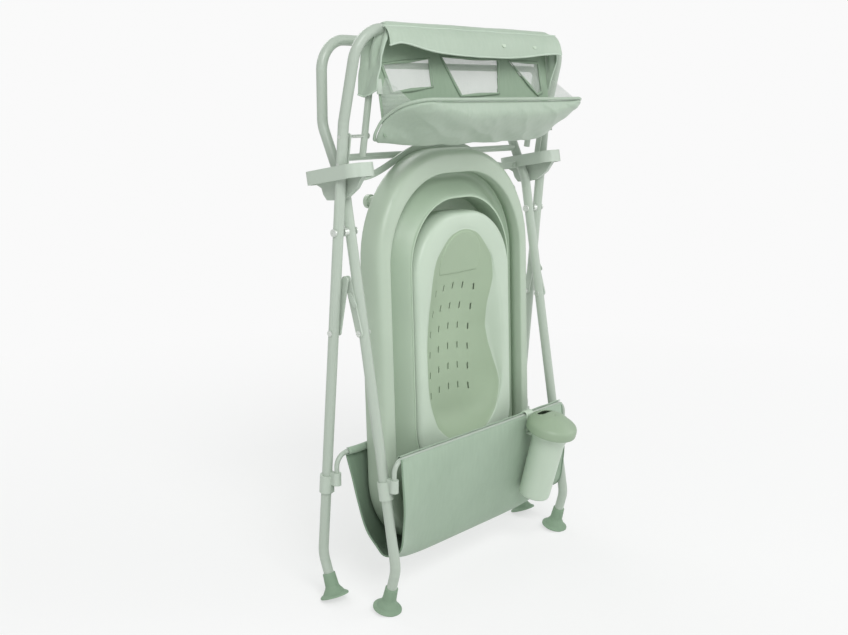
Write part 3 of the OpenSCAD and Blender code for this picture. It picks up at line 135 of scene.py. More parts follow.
def linear(r, g, b):
    """A colour as written for a screen, from 0 to 255, in linear light."""
    def one(v):
        v = v / 255
        return v / 12.92 if v <= 0.04045 else ((v + 0.055) / 1.055) ** 2.4
    return (one(r), one(g), one(b), 1.0)


def add_node(tree, kind, settings=None, inputs=None):
    """A node with its settings, and each input set to a number or linked to an output."""
    made = tree.nodes.new(kind)
    for key, value in (settings or {}).items():
        setattr(made, key, value)
    for key, value in (inputs or {}).items():
        if hasattr(value, "links"):
            tree.links.new(value, made.inputs[key])
        else:
            made.inputs[key].default_value = value
    return made


def blank_material(name, roughness, specular):
    material = bpy.data.materials.new(name)
    material.use_nodes = True
    tree = material.node_tree
    shader = tree.nodes["Principled BSDF"]
    shader.inputs["Roughness"].default_value = roughness
    shader.inputs["Specular IOR Level"].default_value = specular
    return material, tree, shader


def scaled_place(tree, scale, turn=(0, 0, 0)):
    place = add_node(tree, "ShaderNodeTexCoord").outputs["Object"]
    inputs = {"Vector": place, "Scale": scale, "Rotation": turn}
    return add_node(tree, "ShaderNodeMapping", inputs=inputs).outputs["Vector"]


def noise(tree, vector, scale, detail=3.0):
    inputs = {"Vector": vector, "Scale": scale, "Detail": detail}
    return add_node(tree, "ShaderNodeTexNoise", inputs=inputs).outputs["Fac"]


def worked_out(tree, operation, first, second):
    """One Math node on two values."""
    inputs = {0: first, 1: second}
    return add_node(tree, "ShaderNodeMath", {"operation": operation}, inputs).outputs["Value"]


def spread(tree, value, low, high, from_low=0.3, from_high=0.7):
    """A value stretched from one range to another."""
    inputs = {"Value": value, "From Min": from_low, "From Max": from_high, "To Min": low,
              "To Max": high}
    return add_node(tree, "ShaderNodeMapRange", inputs=inputs).outputs["Result"]


def mixed_colour(tree, share, first, second):
    inputs = {"Factor": share, "A": first, "B": second}
    return add_node(tree, "ShaderNodeMix", {"data_type": "RGBA"}, inputs).outputs["Result"]


def bumped(tree, shader, height, distance, strength, before=None):
    inputs = {"Height": height, "Distance": distance, "Strength": strength}
    if before is not None:
        inputs["Normal"] = before
    normal = add_node(tree, "ShaderNodeBump", inputs=inputs).outputs["Normal"]
    tree.links.new(normal, shader.inputs["Normal"])
    return normal


def scaled_colour(colour, factor):
    return tuple(min(1, c * factor) for c in linear(*colour)[:3]) + (1,)


def moulded(name, colour, roughness, grain, change, specular=0.5):
    """Satin plastic or paint: slow colour drift, cloudy gloss, fine grain and a painted highlight
    that makes the edges paler.
    """
    material, tree, shader = blank_material(name, roughness, specular)
    vector = scaled_place(tree, (1, 1, 1))
    drift = spread(tree, noise(tree, vector, 7.0), 0, 1)
    low = scaled_colour(colour, 1 - change)
    high = scaled_colour(colour, 1 + change)
    base = mixed_colour(tree, drift, low, high)
    # Painted highlight: sharp edges are made paler in the base colour, as where light catches
    # them.
    edges = add_node(tree, "ShaderNodeNewGeometry")
    edge_highlight_share = spread(tree, edges.outputs["Pointiness"], 0, 0.7, 0.52, 0.6)
    base = mixed_colour(tree, edge_highlight_share, base, scaled_colour(colour, 1.16))
    tree.links.new(base, shader.inputs["Base Color"])
    cloud = noise(tree, vector, 38.0, 4.0)
    gloss = spread(tree, cloud, roughness - 0.05, roughness + 0.06)
    tree.links.new(gloss, shader.inputs["Roughness"])
    fine = noise(tree, vector, grain, 2.0)
    bumped(tree, shader, fine, 0.00006, 0.5)
    return material


def woven(name, colour, dark, thread, roughness, sheen, wrinkle=0.0, wrinkle_scale=None,
          turn=(0, 0, 0)):
    """Cloth: two crossing thread directions, uneven dye, soft wrinkles and a sheen."""
    material, tree, shader = blank_material(name, roughness, 0.35)
    shader.inputs["Sheen Weight"].default_value = sheen
    shader.inputs["Sheen Roughness"].default_value = 0.4
    vector = scaled_place(tree, (1, 1, 1))
    rate = 0.314 / thread
    threads = []
    for direction in ("X", "Z"):
        wave = add_node(tree, "ShaderNodeTexWave",
                        {"wave_type": "BANDS", "bands_direction": direction},
                        {"Vector": vector, "Scale": rate, "Distortion": 0.6, "Detail": 1.0,
                         "Detail Scale": 2.0})
        threads.append(wave.outputs["Fac"])
    weave = worked_out(tree, "MULTIPLY", *threads)
    slub = noise(tree, scaled_place(tree, (60, 60, 9)), 3.0, 4.0)
    dye = noise(tree, vector, 9.0, 3.0)
    tone = worked_out(tree, "ADD", spread(tree, slub, 0, 0.45), spread(tree, dye, 0, 0.4))
    base = mixed_colour(tree, tone, linear(*dark), linear(*colour))
    raised = spread(tree, weave, 0.75, 1.0, 0, 0.5)
    base = mixed_colour(tree, raised, scaled_colour(dark, 0.86), base)
    tree.links.new(base, shader.inputs["Base Color"])
    normal = bumped(tree, shader, weave, 0.00012, 0.45)
    if wrinkle:
        folds = noise(tree, scaled_place(tree, wrinkle_scale, turn), 1.0, 3.0)
        bumped(tree, shader, folds, wrinkle, 1.0, normal)
    gloss = spread(tree, slub, roughness - 0.06, roughness + 0.06)
    tree.links.new(gloss, shader.inputs["Roughness"])
    return material


def steel(name):
    material, tree, shader = blank_material(name, 0.3, 0.5)
    shader.inputs["Metallic"].default_value = 0.6
    vector = scaled_place(tree, (1, 1, 1))
    brushed = noise(tree, vector, 420.0, 3.0)
    base = mixed_colour(tree, brushed, linear(196, 202, 195), linear(226, 230, 225))
    tree.links.new(base, shader.inputs["Base Color"])
    tree.links.new(spread(tree, brushed, 0.24, 0.42), shader.inputs["Roughness"])
    bumped(tree, shader, brushed, 0.00004, 0.5)
    return material


def ray_share(tree, *kinds):
    """1 for a ray of one of these kinds, else 0."""
    path = add_node(tree, "ShaderNodeLightPath")
    share = path.outputs[kinds[0]]
    for kind in kinds[1:]:
        share = worked_out(tree, "MAXIMUM", share, path.outputs[kind])
    return share


def shader_mix(tree, share, first, second, output):
    mix = add_node(tree, "ShaderNodeMixShader", inputs={0: share, 1: first, 2: second})
    tree.links.new(mix.outputs["Shader"], output.inputs["Surface"])


def surroundings():
    """A pale floor that keeps the shadows near the object and meets a pale world further out."""
    background = {"Color": (0.955, 0.955, 0.955, 1), "Strength": 1.0}
    material = bpy.data.materials.new("floor_paper")
    material.use_nodes = True
    tree = material.node_tree
    tree.nodes.clear()
    output = add_node(tree, "ShaderNodeOutputMaterial")
    paper = add_node(tree, "ShaderNodeBsdfDiffuse",
                     inputs={"Color": (0.86, 0.86, 0.86, 1), "Roughness": 0.6})
    glow = add_node(tree, "ShaderNodeEmission", inputs=background)
    seen = ray_share(tree, "Is Camera Ray", "Is Glossy Ray", "Is Transmission Ray")
    place = add_node(tree, "ShaderNodeNewGeometry")
    length = add_node(tree, "ShaderNodeVectorMath", {"operation": "LENGTH"},
                      {0: place.outputs["Position"]})
    far = spread(tree, length.outputs["Value"], 0.62, 1.0, 0.9, 2.4)
    share = worked_out(tree, "MULTIPLY", seen, far)
    shader_mix(tree, share, paper.outputs["BSDF"], glow.outputs["Emission"], output)
    mesh = bpy.data.meshes.new("floor")
    floor_radius, floor_z, sides = 12, -0.0005, 48
    corners = [(floor_radius * math.cos(a), floor_radius * math.sin(a), floor_z)
               for a in np.linspace(0, FULL_TURN, sides + 1)[:-1]]
    mesh.from_pydata(corners, [], [tuple(range(sides))])
    mesh.materials.append(material)
    floor = bpy.data.objects.new("floor", mesh)
    bpy.context.scene.collection.objects.link(floor)

    world = bpy.data.worlds.new("studio")
    bpy.context.scene.world = world
    world.use_nodes = True
    tree = world.node_tree
    tree.nodes.clear()
    output = add_node(tree, "ShaderNodeOutputWorld")
    soft = add_node(tree, "ShaderNodeBackground",
                    inputs={"Color": (0.95, 0.975, 0.96, 1), "Strength": 0.62})
    pale = add_node(tree, "ShaderNodeBackground", inputs=background)
    seen = ray_share(tree, "Is Camera Ray", "Is Transmission Ray")
    shader_mix(tree, seen, soft.outputs["Background"], pale.outputs["Background"], output)


def smooth_shaded(made):
    for polygon in made.data.polygons:
        polygon.use_smooth = True


def piece(name, points, faces, body, material, stands_for=(), closed=True,
          second=None):
    """A smooth-shaded mesh from millimetre points, riding on a body."""
    mesh = bpy.data.meshes.new(name)
    places = [tuple(p) for p in in_metres(points)]
    mesh.from_pydata(places, [], [tuple(int(i) for i in f) for f in faces])
    mesh.update()
    shape = bmesh.new()
    shape.from_mesh(mesh)
    bmesh.ops.remove_doubles(shape, verts=shape.verts, dist=0.00002)
    if closed:
        bmesh.ops.recalc_face_normals(shape, faces=shape.faces)
    shape.to_mesh(mesh)
    shape.free()
    mesh.materials.append(material)
    if second is not None:
        mesh.materials.append(second)
    made = bpy.data.objects.new(name, mesh)
    smooth_shaded(made)
    bpy.context.scene.collection.objects.link(made)
    if body is not None:
        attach(made, body)
    if stands_for:
        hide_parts(*stands_for)
    return made


def rings_faces(rows, count, wrap=True, close=False):
    """Quads between following rows of a lattice of points."""
    faces = []
    for i in range(rows if close else rows - 1):
        below, above = i * count, ((i + 1) % rows) * count
        for j in range(count if wrap else count - 1):
            k = (j + 1) % count
            faces.append((below + j, below + k, above + k, above + j))
    return faces


def applied(made):
    """Turns a piece's modifiers into its own mesh."""
    graph = bpy.context.evaluated_depsgraph_get()
    mesh = bpy.data.meshes.new_from_object(made.evaluated_get(graph))
    made.modifiers.clear()
    made.data = mesh


def add_thickness(made, thickness, offset=0):
    """Thickness on both sides of a sheet or, with an offset of -1, behind it."""
    shell = made.modifiers.new("thickness", "SOLIDIFY")
    shell.thickness = thickness * 0.001
    shell.offset = offset
    return shell


def add_subdivision(made):
    finer = made.modifiers.new("finer", "SUBSURF")
    finer.levels = 1
    finer.render_levels = 1


def thicken(made, thickness, finer):
    shell = add_thickness(made, thickness)
    shell.use_even_offset = True
    if finer:
        add_subdivision(made)
    applied(made)


def cut_with(made, knife):
    """Cuts the knife's shape out of a piece, and removes the knife."""
    cut = made.modifiers.new("cut", "BOOLEAN")
    cut.operation = "DIFFERENCE"
    cut.solver = "EXACT"
    cut.object = knife
    applied(made)
    bpy.data.objects.remove(knife)
    smooth_shaded(made)


def full_circle(sides):
    return np.linspace(0, FULL_TURN, sides, endpoint=False)


def curved(pts, steps):
    """Points on the Catmull-Rom line from the second of these to the last but one."""
    dense = []
    for p0, p1, p2, p3 in zip(pts, pts[1:], pts[2:], pts[3:]):
        for t in np.linspace(0, 1, steps, endpoint=False):
            dense.append(0.5 * ((2 * p1) + (p2 - p0) * t + (2 * p0 - 5 * p1 + 4 * p2 - p3) * t * t
                                + (3 * p1 - p0 - 3 * p2 + p3) * t ** 3))
    return np.array(dense)


def tube(name, path, radius, body, material, sides):
    """A round cord or bar with capped ends along millimetre points."""
    path = np.asarray(path, float)
    radius = np.broadcast_to(np.asarray(radius, float), len(path))
    along = np.gradient(path, axis=0)
    along /= np.linalg.norm(along, axis=1)[:, None]
    first = np.cross(along[0], [0.3, 0.5, 0.81])
    first /= np.linalg.norm(first)
    points = []
    for at, way, r in zip(path, along, radius):
        first = first - way * (first @ way)
        first /= np.linalg.norm(first)
        second = np.cross(way, first)
        for turn in full_circle(sides):
            points.append(at + r * (math.cos(turn) * first + math.sin(turn) * second))
    faces = rings_faces(len(path), sides)
    faces.append(tuple(range(sides)))
    faces.append(tuple(range(len(points) - sides, len(points))))
    return piece(name, points, faces, body, material)


camera_and_light()
surroundings()

FRAME_PAINT = moulded("frame_paint", (176, 187, 175), 0.34, 900.0, 0.01)
SHELL = moulded("shell_plastic_satin", (178, 193, 175), 0.36, 700.0, 0.03)
CUP = moulded("jug_plastic_satin", (196, 211, 194), 0.36, 700.0, 0.03)
SHELL_PALE = moulded("seat_plastic_pale", (190, 205, 188), 0.38, 700.0, 0.03)
BAND = moulded("fold_band_soft", (166, 184, 163), 0.42, 600.0, 0.04)
LINER = moulded("seat_liner_soft", (163, 181, 156), 0.55, 800.0, 0.03, 0.35)
BASE = moulded("tub_base_soft", (168, 186, 165), 0.42, 600.0, 0.04)
LID = moulded("jug_lid_plastic", (154, 173, 148), 0.42, 700.0, 0.03)
RUBBER = moulded("foot_rubber_matt", (134, 157, 134), 0.6, 500.0, 0.06, 0.3)
STEEL = steel("rivet_steel_brushed")
BASKET = woven("basket_weave", (171, 190, 171), (156, 176, 156), 1.1, 0.72, 0.25,
               0.0012, (46, 46, 5))
BASKET_LINING = woven("basket_lining", (139, 160, 139), (124, 146, 125), 1.1, 0.8, 0.1,
                      0.0012, (30, 30, 8))
PAD = woven("pad_satin", (178, 193, 177), (164, 181, 163), 0.8, 0.42, 0.3,
            0.0022, (22, 9, 30), (0, 0.7, 0))
COVER = woven("mat_satin", (181, 196, 180), (166, 183, 165), 0.8, 0.45, 0.3,
              0.0014, (24, 24, 12))
PANEL = woven("mat_lining", (162, 182, 160), (145, 167, 144), 0.9, 0.6, 0.15,
              0.0022, (12, 12, 9), (0, 0.5, 0))
PIPING = woven("piping_cloth", (196, 211, 196), (182, 199, 182), 0.7, 0.5, 0.3)
NET = woven("net_thread", (226, 232, 226), (208, 216, 208), 0.5, 0.7, 0.2)

for node_name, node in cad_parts.items():
    if "rivet" in node_name or "pin" in node_name:
        chosen = STEEL
    elif "foot" in node_name or node_name == "drain_plug":
        chosen = RUBBER
    elif node_name in ("tub_feet", "mat_snaps"):
        chosen = SHELL
    elif node_name == "tub_base":
        chosen = BASE
    else:
        chosen = FRAME_PAINT
    node.data.materials.clear()
    node.data.materials.append(chosen)

# Tub

# Half width, low and high end, radius of the low and of the high corners
OUTLINES = {
    "tub": (228.0, 0.0, 760.0, 150.0, 200.0),
    "open": (198.0, 42.0, 713.0, 120.0, 165.0),
    "basin": (149.0, 130.0, 668.0, 105.0, 130.0),
    "seat": (143.0, 133.3, 639.3, 100.0, 122.0),
}


def outline(kind, inset, arc=18, side=14, end=5):
    """A rounded outline as a ring of points with the same count for every inset."""
    half_w, low, high, r_low, r_high = OUTLINES[kind]
    half_w, low, high = half_w - inset, low + inset, high - inset
    r_low, r_high = r_low - inset, r_high - inset
    corners = [
        (half_w - r_low, low + r_low, r_low, -90),
        (half_w - r_high, high - r_high, r_high, 0),
        (-half_w + r_high, high - r_high, r_high, 90),
        (-half_w + r_low, low + r_low, r_low, 180),
    ]
    ring = []
    for number, (cx, ch, r, start) in enumerate(corners):
        for turn in np.radians(np.linspace(start, start + 90, arc)):
            ring.append((cx + r * math.cos(turn), ch + r * math.sin(turn)))
        after = corners[(number + 1) % 4]
        turn = math.radians(after[3])
        begin = np.array(ring[-1])
        finish = np.array([after[0] + after[2] * math.cos(turn),
                           after[1] + after[2] * math.sin(turn)])
        steps = side if number in (0, 2) else end
        for share in np.linspace(0, 1, steps + 2)[1:-1]:
            ring.append(tuple(begin + (finish - begin) * share))
    return np.array(ring)


def make_tub():
    # Each row is an outline, its inset and its depth behind the front face
    rim = [
        ("tub", 0, 48), ("tub", 0, 44), ("tub", 0, 30), ("tub", 0.4, 20), ("tub", 1.6, 12),
        ("tub", 4, 6), ("tub", 8, 2.4), ("tub", 13, 0.6), ("tub", 19, 0), ("open", -8, 0),
        ("open", -3, 0.2), ("open", -0.9, 1.1), ("open", 0, 3), ("open", 0, 15), ("open", 0, 27.6),
        ("open", -3, 27.6), ("open", -3, 15), ("open", -3, 5), ("open", -5, 3.3), ("tub", 19, 3),
        ("tub", 14, 3.4), ("tub", 9, 4.8), ("tub", 5.5, 8), ("tub", 3.4, 13), ("tub", 3, 20),
        ("tub", 3, 30), ("tub", 3, 44), ("tub", 3, 48), ("tub", 2.4, 48.4), ("tub", 0.6, 48.4),
    ]
    flat = [(outline(kind, inset), d) for kind, inset, d in rim]
    points = np.concatenate([in_tub(r[:, 0], r[:, 1], d) for r, d in flat])
    piece("tub_rim_shell", points, rings_faces(len(flat), len(flat[0][0]), close=True), "tub",
          SHELL, ["tub_rim"])
    # Bosses that carry the hook knobs, two high and two low
    bosses = []
    for corner_x, corner_h, radius, degrees in ((28, 560, 200 - 17.6, 36.3),
                                                (78, 150, 150 - 21.2, -47.5)):
        x = corner_x + radius * math.cos(math.radians(degrees))
        h = corner_h + radius * math.sin(math.radians(degrees))
        bosses += [(x, h), (-x, h)]
    for number, (x, h) in enumerate(bosses):
        path = [in_tub(x, h, d) for d in (2.9, 6, 9, 11.9)]
        tube("tub_boss_%d" % number, path, [12, 10.5, 10, 10], "tub", SHELL,
             sides=28)

    # The fold band: from a groove inside the rim up to the edge of the basin.
    # Each row is a share of the way inward and a depth.
    band_shares = [
        (-0.02, 27.8), (0.01, 31), (0.05, 35), (0.11, 37.6), (0.19, 38), (0.29, 36), (0.4, 31.6),
        (0.52, 25), (0.64, 17.4), (0.75, 10), (0.85, 3.6), (0.93, -0.8), (0.97, -2.4),
        (1.0, -3.0), (1.03, -2.4), (1.045, 0.4), (1.045, 9), (1.045, 28.6), (1.02, 30.6),
        (0.99, 30.6), (0.99, 6), (0.95, 3.4), (0.86, 7.4), (0.76, 13.6), (0.64, 21.4),
        (0.52, 29), (0.4, 35.4), (0.29, 39.4), (0.18, 41.2), (0.08, 40.4), (0.0, 37), (-0.04, 31),
    ]
    outer, inner = outline("open", 0), outline("basin", 0)
    rings = []
    for share, d in band_shares:
        ring = outer + (inner - outer) * share
        rings.append(in_tub(ring[:, 0], ring[:, 1], d))
    piece("tub_band_shell", np.concatenate(rings), rings_faces(len(rings), len(outer), close=True),
          "tub", BAND, ["tub_fold_band"])


# Seat

def closed_curve(rows):
    """A smooth closed line through rows of height and half width, as points across and up."""
    rows = np.array(rows, float)
    pts = np.concatenate([np.column_stack([rows[:, 1], rows[:, 0]]),
                          np.column_stack([-rows[-2:0:-1, 1], rows[-2:0:-1, 0]])])
    return curved(np.vstack([pts[-1:], pts, pts[:2]]), 24)


SEAT_MIDDLE_H = 390.0
# Rows of height and half width: the recess's wall and its liner
WALL_ROWS = [(186, 0), (189, 32), (197, 55), (224, 87), (250, 101), (275, 110), (300, 115),
             (326, 117), (390, 118), (450, 112), (499, 101), (553, 83), (590, 49), (602, 24),
             (606, 0)]
LINER_ROWS = [(187.5, 0), (190.5, 31), (198.5, 54), (225, 86), (250, 100), (275, 108.5),
              (300, 111), (326, 107), (366, 100), (401, 95), (444, 91), (475, 92), (499, 94),
              (525, 91), (551, 82), (588.5, 48.5), (600.5, 24), (604.5, 0)]
# Rows of height and depth: along the middle and along the crease beside the wall
DEPTH_ROWS = [(186, -12), (192, -4), (200, 9), (212, 23), (226, 32), (240, 36), (290, 37),
              (360, 37), (403, 36), (445, 31), (487, 22), (519, 13), (550, 5), (580, -4),
              (606, -12)]
CREASE_ROWS = [(186, -11), (224, -9.5), (250, -8.5), (286, -5), (320, 4), (366, 14), (401, 17),
               (444, 8), (475, -1), (499, -6), (549, -9), (606, -11.4)]
# Rows of height and power: how flat the floor stays before it rises to the crease
POWER_ROWS = [(186, 3.2), (300, 4.2), (360, 3.6), (430, 2.5), (606, 2.2)]
# Round the front edge to the side: inset and depth
SEAT_EDGE = [(7.4, -12.2), (5.2, -10.9), (3.4, -9), (2, -6.4), (1, -3.2), (0.3, 1), (0, 6),
             (0, 22), (0, 39.4)]
SLOT_STEP_X, SLOT_STEP_H, SLOT_LOW_H = 29.0, 41, 281.0
SLOT_RADIUS, SLOT_HALF_STRAIGHT = 1.75, 4.9


def from_rows(rows, h):
    """A row table read at any height, with its corners eased."""
    soft = 9.0
    rows = np.array(rows, float)
    dense = np.linspace(rows[0, 0], rows[-1, 0], 841)
    value = np.interp(dense, rows[:, 0], rows[:, 1])
    reach = int(soft / (dense[1] - dense[0]))
    kernel = np.hanning(2 * reach + 3)
    kernel /= kernel.sum()
    ends = len(kernel) // 2
    padded = np.pad(value, ends, "reflect", reflect_type="odd")
    return np.interp(h, dense, np.convolve(padded, kernel, "valid"))


LINER_CURVE = closed_curve(LINER_ROWS)
LINER_HALF = LINER_CURVE[LINER_CURVE[:, 0] >= 0]
LINER_HALF = LINER_HALF[np.argsort(LINER_HALF[:, 1])]


def bowl_depth(x, h):
    """Depth of the seat's liner behind the tub's front face."""
    reach = np.maximum(np.interp(h, LINER_HALF[:, 1], LINER_HALF[:, 0]), 4.0)
    share = np.clip(np.abs(x) / reach, 0, 1)
    middle = from_rows(DEPTH_ROWS, h)
    crease = from_rows(CREASE_ROWS, h)
    return middle + (crease - middle) * share ** from_rows(POWER_ROWS, h)


def radius_at(curve, angles):
    """How far a closed line is from the seat's middle, in each direction."""
    up = curve[:, 1] - SEAT_MIDDLE_H
    return np.interp(angles, np.arctan2(up, curve[:, 0]), np.hypot(up, curve[:, 0]),
                     period=FULL_TURN)


def make_seat():
    edge = outline("seat", 8, arc=30, side=34, end=6)
    angles = np.arctan2(edge[:, 1] - SEAT_MIDDLE_H, edge[:, 0])
    ways = np.column_stack([np.cos(angles), np.sin(angles)])
    liner = ways * radius_at(LINER_CURVE, angles)[:, None]
    wall = ways * radius_at(closed_curve(WALL_ROWS), angles)[:, None]
    middle = np.array([0, SEAT_MIDDLE_H])
    shares = np.concatenate([np.linspace(0.03, 0.9, 40), [0.925, 0.95, 0.97, 0.985, 1.0]])
    flat = [middle + liner * s for s in shares]
    depth = np.array([bowl_depth(r[:, 0], r[:, 1]) for r in flat])
    smoothing_rounds = 5
    for _ in range(smoothing_rounds):
        mid = depth[1:-1]
        beside = np.roll(mid, 1, 1) + np.roll(mid, -1, 1)
        depth[1:-1] = 0.4 * mid + 0.2 * (depth[:-2] + depth[2:]) + 0.1 * beside
    rings = list(zip(flat, depth))
    crease = depth[-1]
    for s, t in [(0.03, 0.0), (0.3, 0.36), (0.55, 0.66), (0.75, 0.86), (0.9, 0.96), (1.0, 1.0)]:
        rings.append((middle + liner + (wall - liner) * s, crease + (-11.2 - crease) * t))
    inner = middle + wall
    for s, d in [(0.05, -11.8), (0.14, -12.6), (0.3, -13.3), (0.5, -13.5), (0.7, -13.2),
                 (0.88, -12.7)]:
        rings.append((inner + (edge - inner) * s, d))
    for inset, d in SEAT_EDGE:
        rings.append((outline("seat", inset, arc=30, side=34, end=6), d))
    count = len(angles)
    points = [in_tub(r[:, 0], r[:, 1], np.broadcast_to(d, (count,))) for r, d in rings]
    points = np.concatenate(points + [in_tub(0.0, SEAT_MIDDLE_H, depth[0].mean())[None]])
    faces = rings_faces(len(rings), count)
    faces += [(j, (j + 1) % count, len(points) - 1)[::-1] for j in range(count)]
    made = piece("seat_shell", points, faces, "newborn_seat", SHELL_PALE,
                 ["seat_insert"], second=LINER)
    liner_faces = (len(shares) - 1) * count
    for number, polygon in enumerate(made.data.polygons):
        if number < liner_faces or number >= (len(rings) - 1) * count:
            polygon.material_index = 1
    add_thickness(made, 2.3, -1)
    applied(made)
    cut_drain_slots(made)
    make_head_pad()


def cut_drain_slots(made):
    points, faces = [], []
    sides = 16
    for row in range(6):
        for column in range(5):
            x = (column - 2) * SLOT_STEP_X
            outward = x / (2 * SLOT_STEP_X)
            middle_h = SLOT_LOW_H + row * SLOT_STEP_H - 9 * outward ** 2 + 6.5
            lean = -0.06 * outward
            ring = []
            for turn in full_circle(sides):
                along = SLOT_RADIUS * math.sin(turn)
                along += SLOT_HALF_STRAIGHT if math.sin(turn) > 0 else -SLOT_HALF_STRAIGHT
                ring.append((x + SLOT_RADIUS * math.cos(turn) + lean * along, middle_h + along))
            ring = np.array(ring)
            start = len(points)
            for d in (-30, 60):
                points += list(in_tub(ring[:, 0], ring[:, 1], d))
            faces += [tuple(start + i for i in f) for f in rings_faces(2, sides)]
            faces += [tuple(range(start, start + sides)),
                      tuple(range(start + sides, start + 2 * sides))]
    cut_with(made, piece("seat_knife", points, faces, None, LINER))


def make_head_pad():
    """A thin D that stands out of the liner, with a rounded edge."""
    head_h, head_r, flat_h, middle_h = 541.3, 61.0, 519.5, 548.0
    flat_w = math.sqrt(head_r ** 2 - (head_h - flat_h) ** 2)
    start = math.atan2(flat_h - head_h, flat_w)
    ring = [(head_r * math.cos(a), head_h + head_r * math.sin(a))
            for a in np.linspace(start, math.pi - start, 72)]
    ring += [(x, flat_h - 2.5 * (1 - (x / flat_w) ** 2))
             for x in np.linspace(-flat_w, flat_w, 34)[1:-1]]
    ring = np.array(ring)
    middle = np.array([0, middle_h])
    points = []
    pad_lift = -2.0
    steps = [(1.0, 0.6), (0.988, -0.3), (0.975, -1.2), (0.955, -1.7), (0.93, -1.9)]
    steps += [(share, pad_lift) for share in np.linspace(0.86, 0.06, 14)]
    for share, lift in steps:
        r = middle + (ring - middle) * share
        points.append(in_tub(r[:, 0], r[:, 1], bowl_depth(r[:, 0], r[:, 1]) + lift))
    points.append(in_tub(0.0, middle_h, bowl_depth(0.0, middle_h) + pad_lift)[None])
    points = np.concatenate(points)
    faces = rings_faces(len(steps), len(ring))
    last = (len(steps) - 1) * len(ring)
    faces += [(last + j, last + (j + 1) % len(ring), len(points) - 1) for j in range(len(ring))]
    piece("head_pad", points, faces, "newborn_seat", LINER, ["headrest_pad"])


# Jug

def jug_ring(r, z, sides):
    turn = full_circle(sides)
    return in_jug(r * np.cos(turn), r * np.sin(turn), z)


def make_jug():
    # Radius and height, up the outside and down the inside
    body = [
        (0.5, 0.6), (20, 0.5), (27, 0.4), (30.4, 1.2), (31.6, 3.6), (32, 8), (32.4, 40), (33, 80),
        (33.6, 115), (34.4, 127), (36.4, 134), (39.4, 139), (43, 143.5), (46, 147), (47.6, 150),
        (48, 153), (48, 159.5), (45.6, 159.5), (45.4, 153), (43, 147.6), (38, 142), (33.4, 135.5),
        (31.6, 126), (30.4, 60), (29.8, 8), (28.4, 4), (24, 3.1), (0.5, 3),
    ]
    sides = 72
    points = np.concatenate([jug_ring(r, z, sides) for r, z in body])
    piece("jug_cup", points, rings_faces(len(body), sides, close=True), "jug", CUP,
          ["jug_body"])

    # Hanging strap over the rod's hem, with a web to the cup
    rod_y, rod_z = ROD_FRONT
    inner, thickness = 7.1, 2.4
    reach = inner + 1.25
    root_up_cup = 132
    low = JUG_BASE[1] + root_up_cup * math.cos(JUG_LEAN)
    path = [(rod_y - reach, z) for z in np.linspace(low, rod_z - 4, 7)]
    for turn in np.radians(np.linspace(180, 10, 16)):
        path.append((rod_y + reach * math.cos(turn), rod_z + reach * math.sin(turn)))
    columns = 7
    points = [(JUG_X + x, y, z) for y, z in path for x in np.linspace(-12.2, 12.2, columns)]
    strap = piece("jug_strap", points, rings_faces(len(path), columns, wrap=False), "jug", CUP,
                  closed=False)
    thicken(strap, thickness, True)
    section = ((-11, 0.5), (11, 0.5), (13, 3), (13, 5), (11, 7), (-11, 7), (-13, 5), (-13, 3))
    web = [(JUG_X + x, y, low + z) for y in (rod_y - inner - thickness, rod_y - inner - 24)
           for x, z in section]
    faces = rings_faces(2, 8) + [tuple(range(8)), tuple(range(8, 16))]
    piece("jug_strap_root", web, faces, "jug", CUP)
    make_jug_lid()


def make_jug_lid():
    lid = [
        (48.4, 148), (50.2, 148), (51, 149), (51.2, 154), (51, 160), (50.4, 163), (48.8, 166),
        (45.4, 168.6), (40.6, 171.4), (34, 175.2), (26.4, 178.4), (17, 181), (7.6, 182),
        (0.6, 182.2), (0.6, 179.6), (7.6, 179.4), (17, 178.4), (26.4, 175.8), (34, 172.6),
        (41.6, 168), (46.2, 164.4), (47.8, 161.4), (48.4, 160.4),
    ]
    sides = 96
    # A disc round the mouth stands proud of the dome, and its edge shows as a crescent
    disc_y, disc_r, disc_lift = 28, 44, 2.4
    rings = []
    for r, z in lid:
        turn = full_circle(sides)
        x, y = r * np.cos(turn), r * np.sin(turn)
        if r < 48 and z > 160:
            outside = np.hypot(x, y - disc_y) - disc_r
            z = z + disc_lift / (1 + np.exp(np.clip(outside / 1.3, -40, 40)))
        rings.append(in_jug(x, y, z))
    top = piece("jug_lid_shell", np.concatenate(rings), rings_faces(len(rings), sides, close=True),
                "jug_lid", LID, ["jug_lid"])
    add_subdivision(top)
    applied(top)
    # The mouth: a slot with round ends
    mouth_y, mouth_r, half_straight, sides = 23.8, 8.5, 11.5, 48
    ring = []
    for turn in full_circle(sides):
        end = half_straight if math.cos(turn) > 0 else -half_straight
        ring.append((mouth_r * math.cos(turn) + end, mouth_y + mouth_r * math.sin(turn)))
    ring = np.array(ring)
    points = np.concatenate([in_jug(ring[:, 0], ring[:, 1], z) for z in (150.0, 200.0)])
    faces = rings_faces(2, sides) + [tuple(range(sides)), tuple(range(sides, 2 * sides))]
    cut_with(top, piece("lid_knife", points, faces, None, LID))


# Basket: one sling of cloth from rod to rod, open at both ends

# Points (y, z) from the front rod, under the tub, up to the rear rod: in the middle, at the ends
SLING_MIDDLE = np.array([(-106.9, 291), (-107.4, 262), (-99.5, 201), (-90.5, 160), (-79, 114),
                         (-71, 88), (-56, 70.6), (-20, 70), (2, 73), (11.4, 112), (18, 200),
                         (23.4, 284)], float)
SLING_END = np.array([(-104.5, 291), (-107.5, 262), (-113, 201), (-110.5, 160), (-104, 122),
                      (-85, 104), (-61, 97.5), (-44, 111), (-20, 139), (-3, 190), (9, 238),
                      (22, 282)], float)
FRONT_HEM_HALF, REAR_HEM_HALF, HEM_RADIUS = 253.5, 268.5, 6.4


